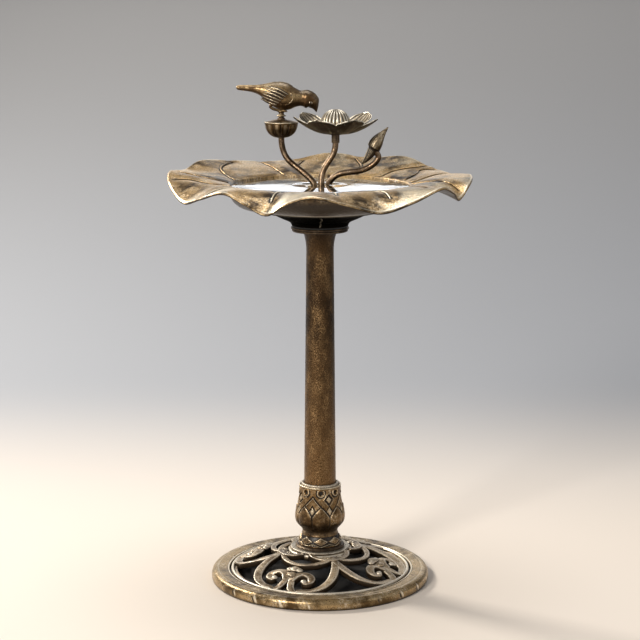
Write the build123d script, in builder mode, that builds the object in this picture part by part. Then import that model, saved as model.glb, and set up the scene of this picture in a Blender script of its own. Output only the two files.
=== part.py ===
"""Garden bird bath: openwork base, tapered column, lotus-leaf bowl, and a bird, flower and bud ornament.

Millimetres, +Z up. The origin is the centre of the base's underside, on the ground. The front faces -Y.
Heights are stacked upwards from the ground, so each piece starts where the one below it ends.
"""

import os
from math import cos, pi, radians, sin

from build123d import *

# ---------------------------------------------------------------- driving sizes
BASE_RADIUS = 156.0
COLUMN_LENGTH = 391.0
LEAF_RADIUS = 208.0
BASIN_RADIUS = 126.0  # inside radius at the basin's lip
BASIN_DEPTH = 30.0  # lip above the basin's floor

CASTING_WALL = 3.0
FIT_GAP = 0.15  # radial clearance of a piece that is pushed in and clamped
TURN_GAP = 0.05  # radial clearance of a piece that turns
SEAM = 0.3  # clear space between bodies that never touch

# ---------------------------------------------------------------- base
PLATE_THICKNESS = 2.5
LEDGE_TOP = 9.0
LEDGE_WIDTH = 14.5
RIM_HEIGHT = 16.0
RIM_WIDTH = 25.5  # width of the rim's top, from the groove to the outer edge
GROOVE_WIDTH = 2.0
BEAD_RADIUS = 3.0
RIM_INNER = BASE_RADIUS - RIM_WIDTH
PANEL_RADIUS = RIM_INNER - GROOVE_WIDTH
LEDGE_INNER = PANEL_RADIUS - LEDGE_WIDTH
PLATE_RADIUS = PANEL_RADIUS - 1.0
PANEL_RING_INNER = PANEL_RADIUS - 4 * BEAD_RADIUS

BASE_SCREW_COUNT = 4
BASE_SCREW_RADIUS = 2.5
BASE_SCREW_HEAD = 4.6
BASE_SCREW_LENGTH = 12.0
BASE_SCREW_CIRCLE = PANEL_RADIUS - 7.0
SCREW_GAP = 0.2
SCREW_SINK = 0.3  # how far the heads sit above the ground

HUB_HEIGHT = 44.0  # top of the dome's hub above the ground
HUB_RADIUS = 41.5
HUB_FLOOR = 8.0
PANEL_THICKNESS = 6.0
PANEL_CROWN = 4.0  # how far the dome bulges above a straight cone
PATTERN_TURN = 245.0  # direction of the first scroll cell's centre
CELL_COUNT = 4

# ---------------------------------------------------------------- collar and column
HUB_RING_HEIGHT = 3.0
SEAT_STEP_HEIGHT = 3.5
SEAT_STEP_RADIUS = 35.0
COLLAR_HEIGHT = 87.5
COLLAR_MOUTH = 28.9
SOCKET_DEPTH = 26.0
SOCKET_FLOOR = 8.0
TRIM_HEIGHT = 3.5
TRIM_WIDTH = 3.65
COLUMN_FOOT_RADIUS = 23.0
COLUMN_NECK_RADIUS = 19.3
COLUMN_WALL = 2.5  # at the neck
COLUMN_BORE = COLUMN_NECK_RADIUS - COLUMN_WALL
FLARE_HEIGHT = 27.0
FLARE_RADIUS = 24.6

FLANGE_RADIUS = 40.6
FLANGE_THICKNESS = 6.5
PLUG_DEPTH = 20.0
SPIGOT_RADIUS = 15.0
SPIGOT_WALL = 4.5
SPIGOT_BORE = SPIGOT_RADIUS - SPIGOT_WALL
SPIGOT_HEIGHT = 12.5

ROD_RADIUS = 4.0
ROD_HOLE = ROD_RADIUS + 0.3
ROD_END = 4.0  # thread that stands proud of each nut
ROD_NUT_FLATS = 2 * ROD_RADIUS + 5.0
ROD_NUT_HEIGHT = 6.4
ROD_WASHER_RADIUS = 2 * ROD_RADIUS + 0.4
ROD_WASHER_THICKNESS = 1.6

# ---------------------------------------------------------------- bowl
SEAT_RING_THICKNESS = 2.0
FOOT_HEIGHT = 24.5
FOOT_TOP_RADIUS = 86.0
FOOT_HUB_WALL = 6.0
FOOT_BOTTOM_RADIUS = 39.5
FOOT_NECK_RADIUS = 53.0
LEAF_WALL = 3.0
FLOOR_CURVE = 24.0  # radius of the turn from the basin's floor to its wall
LEAF_SWELL = 5.0  # how far the leaf rises between the lip and the margin
LIP_STEP = 1.0  # the basin's wall stops this far below the leaf's inner edge

GASKET_THICKNESS = 1.5
GASKET_RADIUS = 15.0
ORNAMENT_FOOT_RADIUS = 19.0
ORNAMENT_FOOT_THICKNESS = 8.0
STEM_SOCKET = 6.0  # depth of the stems' sockets in the foot
STUD_RADIUS = 3.0
STUD_HOLE = STUD_RADIUS + 0.2
STUD_LENGTH = 17.0
STUD_NUT_FLATS = 10.0
STUD_NUT_HEIGHT = 5.0
STUD_WASHER_RADIUS = 6.5
STUD_WASHER_THICKNESS = 1.6
STEM_RADIUS = 4.2
STEM_HOLE = STEM_RADIUS + FIT_GAP

# ---------------------------------------------------------------- heights, stacked from the ground
HUB_RING_Z = HUB_HEIGHT
SEAT_STEP_Z = HUB_RING_Z + HUB_RING_HEIGHT
COLLAR_Z = SEAT_STEP_Z + SEAT_STEP_HEIGHT
COLLAR_TOP = COLLAR_Z + COLLAR_HEIGHT
COLUMN_Z = COLLAR_TOP - SOCKET_DEPTH
COLUMN_TOP = COLUMN_Z + COLUMN_LENGTH
FLANGE_TOP = COLUMN_TOP + FLANGE_THICKNESS
FOOT_Z = FLANGE_TOP + SEAT_RING_THICKNESS
FOOT_TOP = FOOT_Z + FOOT_HEIGHT
BASIN_FLOOR = FOOT_TOP + LEAF_WALL
LIP_Z = BASIN_FLOOR + BASIN_DEPTH
ORNAMENT_Z = BASIN_FLOOR + GASKET_THICKNESS
STEM_Z = ORNAMENT_Z + ORNAMENT_FOOT_THICKNESS - STEM_SOCKET  # the stems' lower ends

# The leaf's margin: direction in degrees, and height above the lip. It lifts at the back and droops in
# four lobes at the front.
MARGIN = [
    (0, 11.0), (14, 8.0), (28, 5.0), (41, 11.0), (54, 21.5), (70, 17.5), (86, 23.0), (100, 14.0),
    (112, 12.0), (128, 16.0), (145, 20.0), (157, 11.0), (174, 15.0), (188, 4.0), (206, -15.0), (220, -5.0),
    (233, 6.0), (242, -7.0), (250, -19.0), (258, -4.0), (267, 5.0), (280, -6.0), (293, -17.0), (306, -6.0),
    (320, 8.5), (329, 0.0), (336, -11.5), (347, 4.0),
]
MARGIN_LEAN = 0.25  # the margin stands out further where it is high


def margin_height(angle):
    """Height of the leaf's margin above the lip, by a smooth closed curve through MARGIN."""
    turned = angle % 360
    count = len(MARGIN)
    for i in range(count):
        a1, h1 = MARGIN[i]
        a2, h2 = MARGIN[(i + 1) % count]
        a2 += 360 if i + 1 == count else 0
        if a1 <= turned < a2:
            a0, h0 = MARGIN[i - 1]
            a0 -= 360 if i == 0 else 0
            a3, h3 = MARGIN[(i + 2) % count]
            a3 += 360 if i + 2 >= count else 0
            span = a2 - a1
            u = (turned - a1) / span
            slope1 = (h2 - h0) / (a2 - a0) * span
            slope2 = (h3 - h1) / (a3 - a1) * span
            return (
                (2 * u**3 - 3 * u**2 + 1) * h1
                + (u**3 - 2 * u**2 + u) * slope1
                + (3 * u**2 - 2 * u**3) * h2
                + (u**3 - u**2) * slope2
            )
    return MARGIN[0][1]


def leaf_point(share, angle, drop=0.0):
    """A point of the leaf's upper face: share is 0 at the basin's lip and 1 at the margin."""
    height = margin_height(angle)
    margin = LEAF_RADIUS + MARGIN_LEAN * height
    radius = BASIN_RADIUS + share * (margin - BASIN_RADIUS)
    z = LIP_Z + height * share**2.2 + LEAF_SWELL * sin(pi * share) - drop
    return Vector(radius * cos(radians(angle)), radius * sin(radians(angle)), z)


def polar(radius, angle):
    """A point in the plan from its distance and its direction in degrees."""
    return (radius * cos(radians(angle)), radius * sin(radians(angle)))


def ring(inner, outer, bottom, top):
    """A plain ring round the Z axis."""
    with BuildPart() as made:
        with BuildSketch(Plane.XY.offset(bottom)):
            Circle(outer)
            Circle(inner, mode=Mode.SUBTRACT)
        extrude(amount=top - bottom)
    return made.part


def hex_nut(flats, hole, bottom, height):
    """A six-sided nut on the Z axis."""
    with BuildPart() as nut:
        with BuildSketch(Plane.XY.offset(bottom)):
            RegularPolygon(flats / 2, 6, major_radius=False)
            Circle(hole, mode=Mode.SUBTRACT)
        extrude(amount=height)
    return nut.part


def rod(bottom, top, radius):
    """A round rod on the Z axis with small end chamfers."""
    with BuildPart() as made:
        with BuildSketch(Plane.XY.offset(bottom)):
            Circle(radius)
        extrude(amount=top - bottom)
        chamfer(made.edges().filter_by(GeomType.CIRCLE), length=radius / 8)
    return made.part


# ---------------------------------------------------------------- base pieces
UNDERSIDE = Plane(origin=(0, 0, 0), x_dir=(1, 0, 0), z_dir=(0, 0, -1))


def make_base_plate():
    """Steel plate that closes the underside and weighs the base down."""
    with BuildPart() as plate:
        with BuildSketch(Plane.XY):
            Circle(PLATE_RADIUS)
        extrude(amount=PLATE_THICKNESS)
        with Locations(UNDERSIDE):
            with PolarLocations(BASE_SCREW_CIRCLE, BASE_SCREW_COUNT, start_angle=45):
                CounterSinkHole(
                    BASE_SCREW_RADIUS + SCREW_GAP,
                    BASE_SCREW_HEAD + 2 * SCREW_GAP,
                    counter_sink_angle=90,
                )
    return plate.part


def make_base_rim():
    """Heavy cast ring with a rounded shoulder and an inner ledge that carries the openwork dome."""
    shoulder = 9.0
    toe = 2.0
    with BuildPart() as rim:
        with BuildSketch(Plane.XZ):
            with BuildLine():
                p0 = (LEDGE_INNER, PLATE_THICKNESS)
                p1 = (LEDGE_INNER, LEDGE_TOP)
                p2 = (RIM_INNER, LEDGE_TOP)
                p3 = (RIM_INNER, RIM_HEIGHT - 1.5)
                p4 = (RIM_INNER + 1.5, RIM_HEIGHT - 0.5)
                p5 = (BASE_RADIUS - shoulder, RIM_HEIGHT)
                p6 = (BASE_RADIUS, RIM_HEIGHT - shoulder)
                p7 = (BASE_RADIUS, toe)
                p8 = (BASE_RADIUS - toe, 0)
                p9 = (PLATE_RADIUS + 0.5, 0)
                p10 = (PLATE_RADIUS + 0.5, PLATE_THICKNESS)
                Polyline(p0, p1, p2, p3, p4, p5)
                RadiusArc(p5, p6, shoulder)
                Polyline(p6, p7, p8, p9, p10, p0)
            make_face()
        revolve(axis=Axis.Z)
        with Locations((0, 0, LEDGE_TOP)):
            with PolarLocations(BASE_SCREW_CIRCLE, BASE_SCREW_COUNT, start_angle=45):
                Hole(BASE_SCREW_RADIUS + SCREW_GAP)
    return rim.part


def make_base_screws():
    """Four countersunk screws that hold plate, rim and dome together, as one group."""
    with BuildPart() as screw:
        with BuildSketch(Plane.XZ):
            with BuildLine():
                Polyline(
                    (0, SCREW_SINK),
                    (BASE_SCREW_HEAD, SCREW_SINK),
                    (BASE_SCREW_RADIUS, SCREW_SINK + BASE_SCREW_HEAD - BASE_SCREW_RADIUS),
                    (BASE_SCREW_RADIUS, SCREW_SINK + BASE_SCREW_LENGTH - 0.5),
                    (BASE_SCREW_RADIUS - 0.5, SCREW_SINK + BASE_SCREW_LENGTH),
                    (0, SCREW_SINK + BASE_SCREW_LENGTH),
                    close=True,
                )
            make_face()
        revolve(axis=Axis.Z)
        with BuildSketch(Plane.XY):
            Rectangle(BASE_SCREW_HEAD, 0.9)
            Rectangle(0.9, BASE_SCREW_HEAD)
        extrude(amount=1.2 + SCREW_SINK, mode=Mode.SUBTRACT)
    places = PolarLocations(BASE_SCREW_CIRCLE, BASE_SCREW_COUNT, start_angle=45)
    return Compound(children=[place * screw.part for place in places.locations])


# One scroll cell, as centrelines of (distance, direction from the cell's centre) on one side of it.
LYRE = [(52, 45), (66, 43.5), (84, 39.5), (101, 34), (113, 26), (119.5, 16), (120.5, 9)]
VOLUTE = [(120.5, 9), (113, 3.6), (102, 2.6), (92.5, 6.5), (90, 12), (95, 16.5), (104, 18), (111, 15)]
OUTER_SWAG = [(54, 43), (63, 30), (69, 15), (71, 0), (69, -15), (63, -30), (54, -43)]
INNER_SWAG = [(44, 82), (53, 70), (57.5, 57), (58.5, 45), (57.5, 33), (53, 20), (44, 8)]
LYRE_WIDTH = 10.5
VOLUTE_WIDTH = 8.0
SWAG_WIDTH = 7.2
BUD_REACH = 86.0
PLAN_SCALE = PANEL_RADIUS / 128.5  # the centrelines are drawn for a dome of this radius


def plan(points, turn, side=1):
    """Centreline points turned into place, and mirrored where side is -1."""
    return [polar(r * PLAN_SCALE, turn + side * a) for r, a in points]


def make_scroll_panel():
    """Openwork dome: a ring, four cells of scrolls and a hub, cut from a thin revolved dome."""
    with BuildPart() as panel:
        with BuildSketch(Plane.XY):
            Circle(PANEL_RADIUS)
            Circle(PANEL_RING_INNER, mode=Mode.SUBTRACT)
            Circle(HUB_RADIUS + 4)
            Circle(ROD_HOLE, mode=Mode.SUBTRACT)
            for cell in range(CELL_COUNT):
                turn = PATTERN_TURN + cell * 360 / CELL_COUNT
                for side in (1, -1):
                    with BuildLine():
                        Spline(*plan(LYRE, turn, side))
                    trace(line_width=LYRE_WIDTH)
                    with BuildLine():
                        Spline(*plan(VOLUTE, turn, side))
                    trace(line_width=VOLUTE_WIDTH)
                    with Locations(polar(VOLUTE[-1][0] * PLAN_SCALE, turn + side * VOLUTE[-1][1])):
                        Circle(VOLUTE_WIDTH / 2 + 1)
                with BuildLine():
                    Spline(*plan(OUTER_SWAG, turn))
                trace(line_width=SWAG_WIDTH)
                with BuildLine():
                    Spline(*plan(INNER_SWAG, turn))
                trace(line_width=SWAG_WIDTH)
                with Locations(polar(BUD_REACH * PLAN_SCALE, turn)):
                    Circle(VOLUTE_WIDTH * 0.8)
                with Locations(polar((BUD_REACH + 8) * PLAN_SCALE, turn)):
                    Circle(VOLUTE_WIDTH * 0.8)
        extrude(amount=HUB_HEIGHT + 1)
        with BuildSketch(Plane.XZ):
            with BuildLine():
                edge = PANEL_RADIUS - 2 * BEAD_RADIUS
                low = LEDGE_TOP + 5.0
                middle = (edge + HUB_RADIUS) / 2
                rise = (low + HUB_HEIGHT) / 2 + PANEL_CROWN
                start = Line((ROD_HOLE, HUB_HEIGHT), (HUB_RADIUS, HUB_HEIGHT))
                dome = ThreePointArc(start @ 1, (middle, rise), (edge, low))
                bead = ThreePointArc(
                    dome @ 1, (PANEL_RADIUS - BEAD_RADIUS, low + BEAD_RADIUS), (PANEL_RADIUS, low)
                )
                foot = Polyline(bead @ 1, (PANEL_RADIUS, LEDGE_TOP), (PANEL_RING_INNER, LEDGE_TOP))
                under = ThreePointArc(
                    foot @ 1,
                    (middle, rise - PANEL_THICKNESS),
                    (HUB_RADIUS, HUB_HEIGHT - HUB_FLOOR),
                )
                Polyline(under @ 1, (ROD_HOLE, HUB_HEIGHT - HUB_FLOOR), start @ 0)
            make_face()
        revolve(axis=Axis.Z, mode=Mode.INTERSECT)
        with Locations(Plane(origin=(0, 0, LEDGE_TOP), x_dir=(1, 0, 0), z_dir=(0, 0, -1))):
            with PolarLocations(BASE_SCREW_CIRCLE, BASE_SCREW_COUNT, start_angle=45):
                Hole(BASE_SCREW_RADIUS + SCREW_GAP, depth=BASE_SCREW_LENGTH + 1 - LEDGE_TOP + SCREW_SINK)
    return panel.part


def make_hub_ring():
    """Pale disc on the hub, under the collar."""
    blank = ring(ROD_HOLE, HUB_RADIUS, HUB_RING_Z, HUB_RING_Z + HUB_RING_HEIGHT)
    with BuildPart() as hub:
        add(blank)
        chamfer(hub.edges().group_by(Axis.Z)[-1].sort_by(SortBy.RADIUS)[-1], length=1.0)
    return hub.part


def make_seat_step():
    """Dark step between the hub disc and the collar."""
    blank = ring(ROD_HOLE, SEAT_STEP_RADIUS, SEAT_STEP_Z, SEAT_STEP_Z + SEAT_STEP_HEIGHT)
    with BuildPart() as step:
        add(blank)
        chamfer(step.edges().group_by(Axis.Z)[-1].sort_by(SortBy.RADIUS)[-1], length=1.5)
    return step.part


# Outer profile of the collar, as radius and share of its height.
COLLAR_PROFILE = [
    (30.2, 0.0), (30.0, 0.06), (28.6, 0.12), (26.2, 0.18), (25.2, 0.225), (26.2, 0.265), (29.8, 0.315),
    (33.3, 0.385), (34.4, 0.47), (33.6, 0.56), (31.6, 0.70), (29.7, 0.85), (COLLAR_MOUTH, 1.0),
]


def make_collar():
    """Vase-shaped collar with the socket for the column."""
    cavity = COLLAR_PROFILE[4][0] - 2 * CASTING_WALL
    with BuildPart() as collar:
        with BuildSketch(Plane.XZ):
            with BuildLine():
                Spline(*[(r, COLLAR_Z + share * COLLAR_HEIGHT) for r, share in COLLAR_PROFILE])
                Polyline(
                    (COLLAR_MOUTH, COLLAR_TOP),
                    (COLUMN_FOOT_RADIUS + FIT_GAP, COLLAR_TOP),
                    (COLUMN_FOOT_RADIUS + FIT_GAP, COLUMN_Z),
                    (ROD_HOLE, COLUMN_Z),
                    (ROD_HOLE, COLUMN_Z - SOCKET_FLOOR),
                    (cavity, COLUMN_Z - SOCKET_FLOOR),
                    (cavity, COLLAR_Z),
                    (COLLAR_PROFILE[0][0], COLLAR_Z),
                )
            make_face()
        revolve(axis=Axis.Z)
    return collar.part


def make_collar_trim():
    """Rounded ring that closes the gap between the collar's mouth and the column."""
    inner = COLUMN_FOOT_RADIUS + FIT_GAP
    blank = ring(inner, inner + TRIM_WIDTH, COLLAR_TOP, COLLAR_TOP + TRIM_HEIGHT)
    with BuildPart() as trim:
        add(blank)
        fillet(trim.edges().group_by(Axis.Z)[-1], radius=1.4)
    return trim.part


def make_column():
    """Tapered column with a straight bore and a flared head."""
    with BuildPart() as column:
        with BuildSketch(Plane.XZ):
            with BuildLine():
                flare_z = COLUMN_TOP - FLARE_HEIGHT
                shaft = Line((COLUMN_FOOT_RADIUS, COLUMN_Z), (COLUMN_NECK_RADIUS, flare_z))
                flare = JernArc(shaft @ 1, shaft % 1, 74.0, -21)
                Polyline(
                    flare @ 1,
                    (FLARE_RADIUS, COLUMN_TOP),
                    (COLUMN_BORE, COLUMN_TOP),
                    (COLUMN_BORE, COLUMN_Z),
                    shaft @ 0,
                )
            make_face()
        revolve(axis=Axis.Z)
    return column.part


def make_column_head():
    """Cast head: a plug in the column, a grooved flange, and the spigot that carries the bowl."""
    with BuildPart() as head:
        with BuildSketch(Plane.XZ):
            with BuildLine():
                groove_z = COLUMN_TOP + FLANGE_THICKNESS / 2
                Polyline(
                    (ROD_HOLE, COLUMN_TOP),
                    (SPIGOT_BORE, COLUMN_TOP),
                    (SPIGOT_BORE, COLUMN_TOP - PLUG_DEPTH),
                    (COLUMN_BORE - FIT_GAP, COLUMN_TOP - PLUG_DEPTH),
                    (COLUMN_BORE - FIT_GAP, COLUMN_TOP),
                    (FLANGE_RADIUS - 2.2, COLUMN_TOP),
                    (FLANGE_RADIUS - 1.4, COLUMN_TOP + 1.0),
                    (FLANGE_RADIUS - 1.4, groove_z - 0.8),
                    (FLANGE_RADIUS - 2.4, groove_z),
                    (FLANGE_RADIUS, groove_z + 0.8),
                    (FLANGE_RADIUS, FLANGE_TOP - 0.8),
                    (FLANGE_RADIUS - 0.8, FLANGE_TOP),
                    (SPIGOT_RADIUS, FLANGE_TOP),
                    (SPIGOT_RADIUS, FLANGE_TOP + SPIGOT_HEIGHT - 1),
                    (SPIGOT_RADIUS - 1, FLANGE_TOP + SPIGOT_HEIGHT),
                    (SPIGOT_BORE, FLANGE_TOP + SPIGOT_HEIGHT),
                    (SPIGOT_BORE, FLANGE_TOP),
                    (ROD_HOLE, FLANGE_TOP),
                    close=True,
                )
            make_face()
        revolve(axis=Axis.Z)
    return head.part


LOWER_WASHER_Z = HUB_HEIGHT - HUB_FLOOR - ROD_WASHER_THICKNESS
LOWER_NUT_Z = LOWER_WASHER_Z - ROD_NUT_HEIGHT
UPPER_NUT_Z = FLANGE_TOP + ROD_WASHER_THICKNESS


def make_tie_rod():
    """Threaded rod that clamps base, collar, column and head together."""
    return rod(LOWER_NUT_Z - ROD_END, UPPER_NUT_Z + ROD_NUT_HEIGHT + ROD_END / 2, ROD_RADIUS)


# ---------------------------------------------------------------- bowl pieces
FOOT_WEB_Z = FOOT_TOP - CASTING_WALL
FOOT_BORE = SPIGOT_RADIUS + TURN_GAP
FOOT_HUB_RADIUS = FOOT_BORE + FOOT_HUB_WALL


def make_seat_ring():
    """Nylon ring on the flange; the bowl turns on it."""
    return ring(FOOT_BORE, FOOT_BOTTOM_RADIUS - 0.5, FLANGE_TOP, FOOT_Z)


def make_bowl_foot():
    """Trumpet-shaped foot under the bowl, with the hub that drops over the spigot."""
    with BuildPart() as foot:
        with BuildSketch(Plane.XZ):
            with BuildLine():
                outer = Spline(
                    (FOOT_BOTTOM_RADIUS, FOOT_Z),
                    (FOOT_NECK_RADIUS, FOOT_Z + 0.40 * FOOT_HEIGHT),
                    (FOOT_TOP_RADIUS, FOOT_TOP - 2.0),
                    tangents=[(0.35, 1), (1, 0.28)],
                )
                Polyline(
                    outer @ 1,
                    (FOOT_TOP_RADIUS, FOOT_TOP),
                    (STUD_HOLE, FOOT_TOP),
                    (STUD_HOLE, FOOT_WEB_Z),
                    (FOOT_BORE, FOOT_WEB_Z),
                    (FOOT_BORE, FOOT_Z),
                    (FOOT_HUB_RADIUS, FOOT_Z),
                    (FOOT_HUB_RADIUS, FOOT_WEB_Z),
                    (FOOT_TOP_RADIUS - 6 * CASTING_WALL, FOOT_WEB_Z),
                )
                Spline(
                    (FOOT_TOP_RADIUS - 6 * CASTING_WALL, FOOT_WEB_Z),
                    (FOOT_NECK_RADIUS - CASTING_WALL, FOOT_Z + 0.40 * FOOT_HEIGHT + 0.5),
                    (FOOT_BOTTOM_RADIUS - CASTING_WALL, FOOT_Z),
                )
                Line((FOOT_BOTTOM_RADIUS - CASTING_WALL, FOOT_Z), outer @ 0)
            make_face()
        revolve(axis=Axis.Z)
    return foot.part


RING_SHARES = (0.0, 0.2, 0.42, 0.62, 0.8, 0.92, 1.0)
RING_POINTS = 72


def leaf_ring(share, drop):
    """A closed smooth ring round the leaf."""
    step = 360 / RING_POINTS
    points = [leaf_point(share, i * step, drop) for i in range(RING_POINTS)]
    return Wire([Edge.make_spline(points, periodic=True)])


def make_leaf_bowl():
    """Round basin whose lip spreads into a wavy lotus leaf."""
    upper = [leaf_ring(share, 0) for share in RING_SHARES]
    lower = [leaf_ring(share, LEAF_WALL) for share in RING_SHARES]
    skins = [
        Shell.make_loft(upper, ruled=False),
        Shell.make_loft(lower, ruled=False),
        Shell.make_loft([upper[0], lower[0]], ruled=True),
        Shell.make_loft([upper[-1], lower[-1]], ruled=True),
    ]
    leaf = Solid(Shell([face for skin in skins for face in skin.faces()]))
    with BuildPart() as bowl:
        with BuildSketch(Plane.XZ):
            with BuildLine():
                wall = BASIN_RADIUS - LEAF_WALL / 2
                bottom = FOOT_TOP
                base = Polyline(
                    (STUD_HOLE, BASIN_FLOOR),
                    (STUD_HOLE, bottom),
                    (wall - FLOOR_CURVE, bottom),
                )
                corner = (wall + LEAF_WALL, bottom + FLOOR_CURVE + LEAF_WALL)
                outer = TangentArc(base @ 1, corner, tangent=(1, 0))
                Polyline(
                    outer @ 1,
                    (wall + LEAF_WALL, LIP_Z - LIP_STEP),
                    (wall, LIP_Z - LIP_STEP),
                    (wall, BASIN_FLOOR + FLOOR_CURVE),
                )
                start = (wall - FLOOR_CURVE, BASIN_FLOOR)
                inner = TangentArc(start, (wall, BASIN_FLOOR + FLOOR_CURVE), tangent=(1, 0))
                Line(inner @ 0, base @ 0)
            make_face()
        revolve(axis=Axis.Z)
        add(leaf)
    return bowl.part


def make_bowl_gasket():
    """Rubber washer that seals the bowl's centre hole under the ornament's foot."""
    return ring(STUD_HOLE, GASKET_RADIUS, BASIN_FLOOR, ORNAMENT_Z)


# ---------------------------------------------------------------- ornament
# Places in the plan, and heights above the basin's lip.
POD_PLACE = (-54.0, 22.0)
POD_HEIGHT = 62.5  # the pod's bottom
POD_RADIUS = 23.5
POD_DEPTH = 22.0
POD_CROWN = 4.0
POD_SOCKET = 8.0
POD_FLUTES = 12
FLOWER_PLACE = (21.5, 0.0)
FLOWER_HEIGHT = 69.0  # the petals' underside
PETAL_COUNT = 7
PETAL_TURN = 270.0 + 180.0 / PETAL_COUNT  # a gap between petals faces the front
PETAL_REACH = 61.0
PETAL_NOTCH = 37.0
PETAL_RISE = 23.0
PETAL_SHEET = 1.6
FERRULE_WALL = 1.25
FERRULE_RADIUS = STEM_HOLE + FERRULE_WALL
FERRULE_LENGTH = 11.5
FERRULE_FLOOR = 4.0
FLOWER_SCREW_RADIUS = 1.5
FLOWER_SCREW_HEAD = 2.9
FLOWER_SCREW_LENGTH = 5.0
HEAD_HEIGHT = 2.0
DOME_RADIUS = 19.0
DOME_HEIGHT = 18.0
DOME_LIFT = 14.5  # the seed dome's edge above the petals' underside
BUD_LOW = (58.0, 0.0, 27.5)
BUD_HIGH = (94.5, 0.0, 79.0)
BUD_RADIUS = 8.6
BUD_JOIN = 0.45  # where the stem meets the bud, as a share of the bud's length
BUD_STEM_LEAN = 30.0  # how far the stem's end leans back from upright, in degrees
PEG_RADIUS = 3.0
PEG_FOOT_RADIUS = 5.5
PEG_LENGTH = 9.5  # from the pod's crown to the bird's foot
PEG_ROOT_RADIUS = 2.2
PEG_ROOT_DEPTH = 6.0
PEG_PIN_RADIUS = 1.6
PEG_PIN_LENGTH = 8.0

POD_Z = LIP_Z + POD_HEIGHT
POD_RIM_Z = POD_Z + POD_DEPTH
POD_TOP = POD_RIM_Z + POD_CROWN
FLOWER_Z = LIP_Z + FLOWER_HEIGHT
FERRULE_Z = FLOWER_Z - FERRULE_LENGTH
DOME_Z = FLOWER_Z + DOME_LIFT
PERCH_Z = POD_TOP + PEG_LENGTH

# Feet of the three stems in the ornament's foot, in the plan.
POD_STEM_FOOT = (-9.0, 4.5)
FLOWER_STEM_FOOT = (1.5, -5.5)
BUD_STEM_FOOT = (10.5, 4.5)

# Middles of the stems: X, Y and height above the basin's lip.
POD_STEM_RUN = [(-8.5, 4.5, 0), (-15.5, 7, 8.5), (-25, 10, 16.5), (-36.5, 14.5, 25), (-46.5, 18, 35)]
FLOWER_STEM_RUN = [(1.6, -4.5, 0), (3, -2.5, 14), (6.7, -1, 23), (12, 0, 31.5), (18.2, 0, 41.5)]
BUD_STEM_RUN = [(10.3, 4.2, -6), (21, 1.5, 10.5), (45, 0, 17), (70, 0, 24.5)]


def make_ornament_foot():
    """Round brass foot: three sockets for the stems above, a threaded stud below."""
    with BuildPart() as foot:
        with BuildSketch(Plane.XY.offset(ORNAMENT_Z)):
            Circle(ORNAMENT_FOOT_RADIUS)
        extrude(amount=ORNAMENT_FOOT_THICKNESS)
        chamfer(foot.edges().group_by(Axis.Z)[-1], length=1.5)
        with BuildSketch(Plane.XY.offset(STEM_Z)):
            with Locations(POD_STEM_FOOT, FLOWER_STEM_FOOT, BUD_STEM_FOOT):
                Circle(STEM_HOLE)
        extrude(amount=ORNAMENT_FOOT_THICKNESS, mode=Mode.SUBTRACT)
        with BuildSketch(Plane.XY.offset(ORNAMENT_Z)):
            Circle(STUD_RADIUS)
        extrude(amount=-STUD_LENGTH)
        chamfer(foot.edges().group_by(Axis.Z)[0], length=0.6)
    return foot.part


def make_stem(foot, run, top, direction, straight):
    """Bent rod from its socket in the foot, along its run, to a straight end in the piece it carries."""
    start = Vector(foot[0], foot[1], STEM_Z)
    rise = start + Vector(0, 0, STEM_SOCKET + 1)
    middles = [Vector(x, y, LIP_Z + z) for x, y, z in run]
    neck = top - direction * straight
    with BuildPart() as stem:
        with BuildLine():
            Line(start, rise)
            Spline(rise, *middles, neck, tangents=[(0, 0, 1), direction], tangent_scalars=(1, 1))
            Line(neck, top)
        with BuildSketch(Plane(origin=start, z_dir=(0, 0, 1))):
            Circle(STEM_RADIUS)
        sweep()
    return stem.part


UP = Vector(0, 0, 1)
POD_STEM_TOP = Vector(*POD_PLACE, POD_Z + POD_SOCKET)
FLOWER_STEM_TOP = Vector(*FLOWER_PLACE, FLOWER_Z - FERRULE_FLOOR)
BUD_START = Vector(*BUD_LOW) + UP * LIP_Z
BUD_END = Vector(*BUD_HIGH) + UP * LIP_Z
BUD_AXIS = (BUD_END - BUD_START).normalized()
BUD_LENGTH = (BUD_END - BUD_START).length
BUD_ENTRY = Vector(-sin(radians(BUD_STEM_LEAN)), 0, cos(radians(BUD_STEM_LEAN)))
BUD_STEM_TOP = BUD_START + BUD_AXIS * (BUD_JOIN * BUD_LENGTH)


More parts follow.
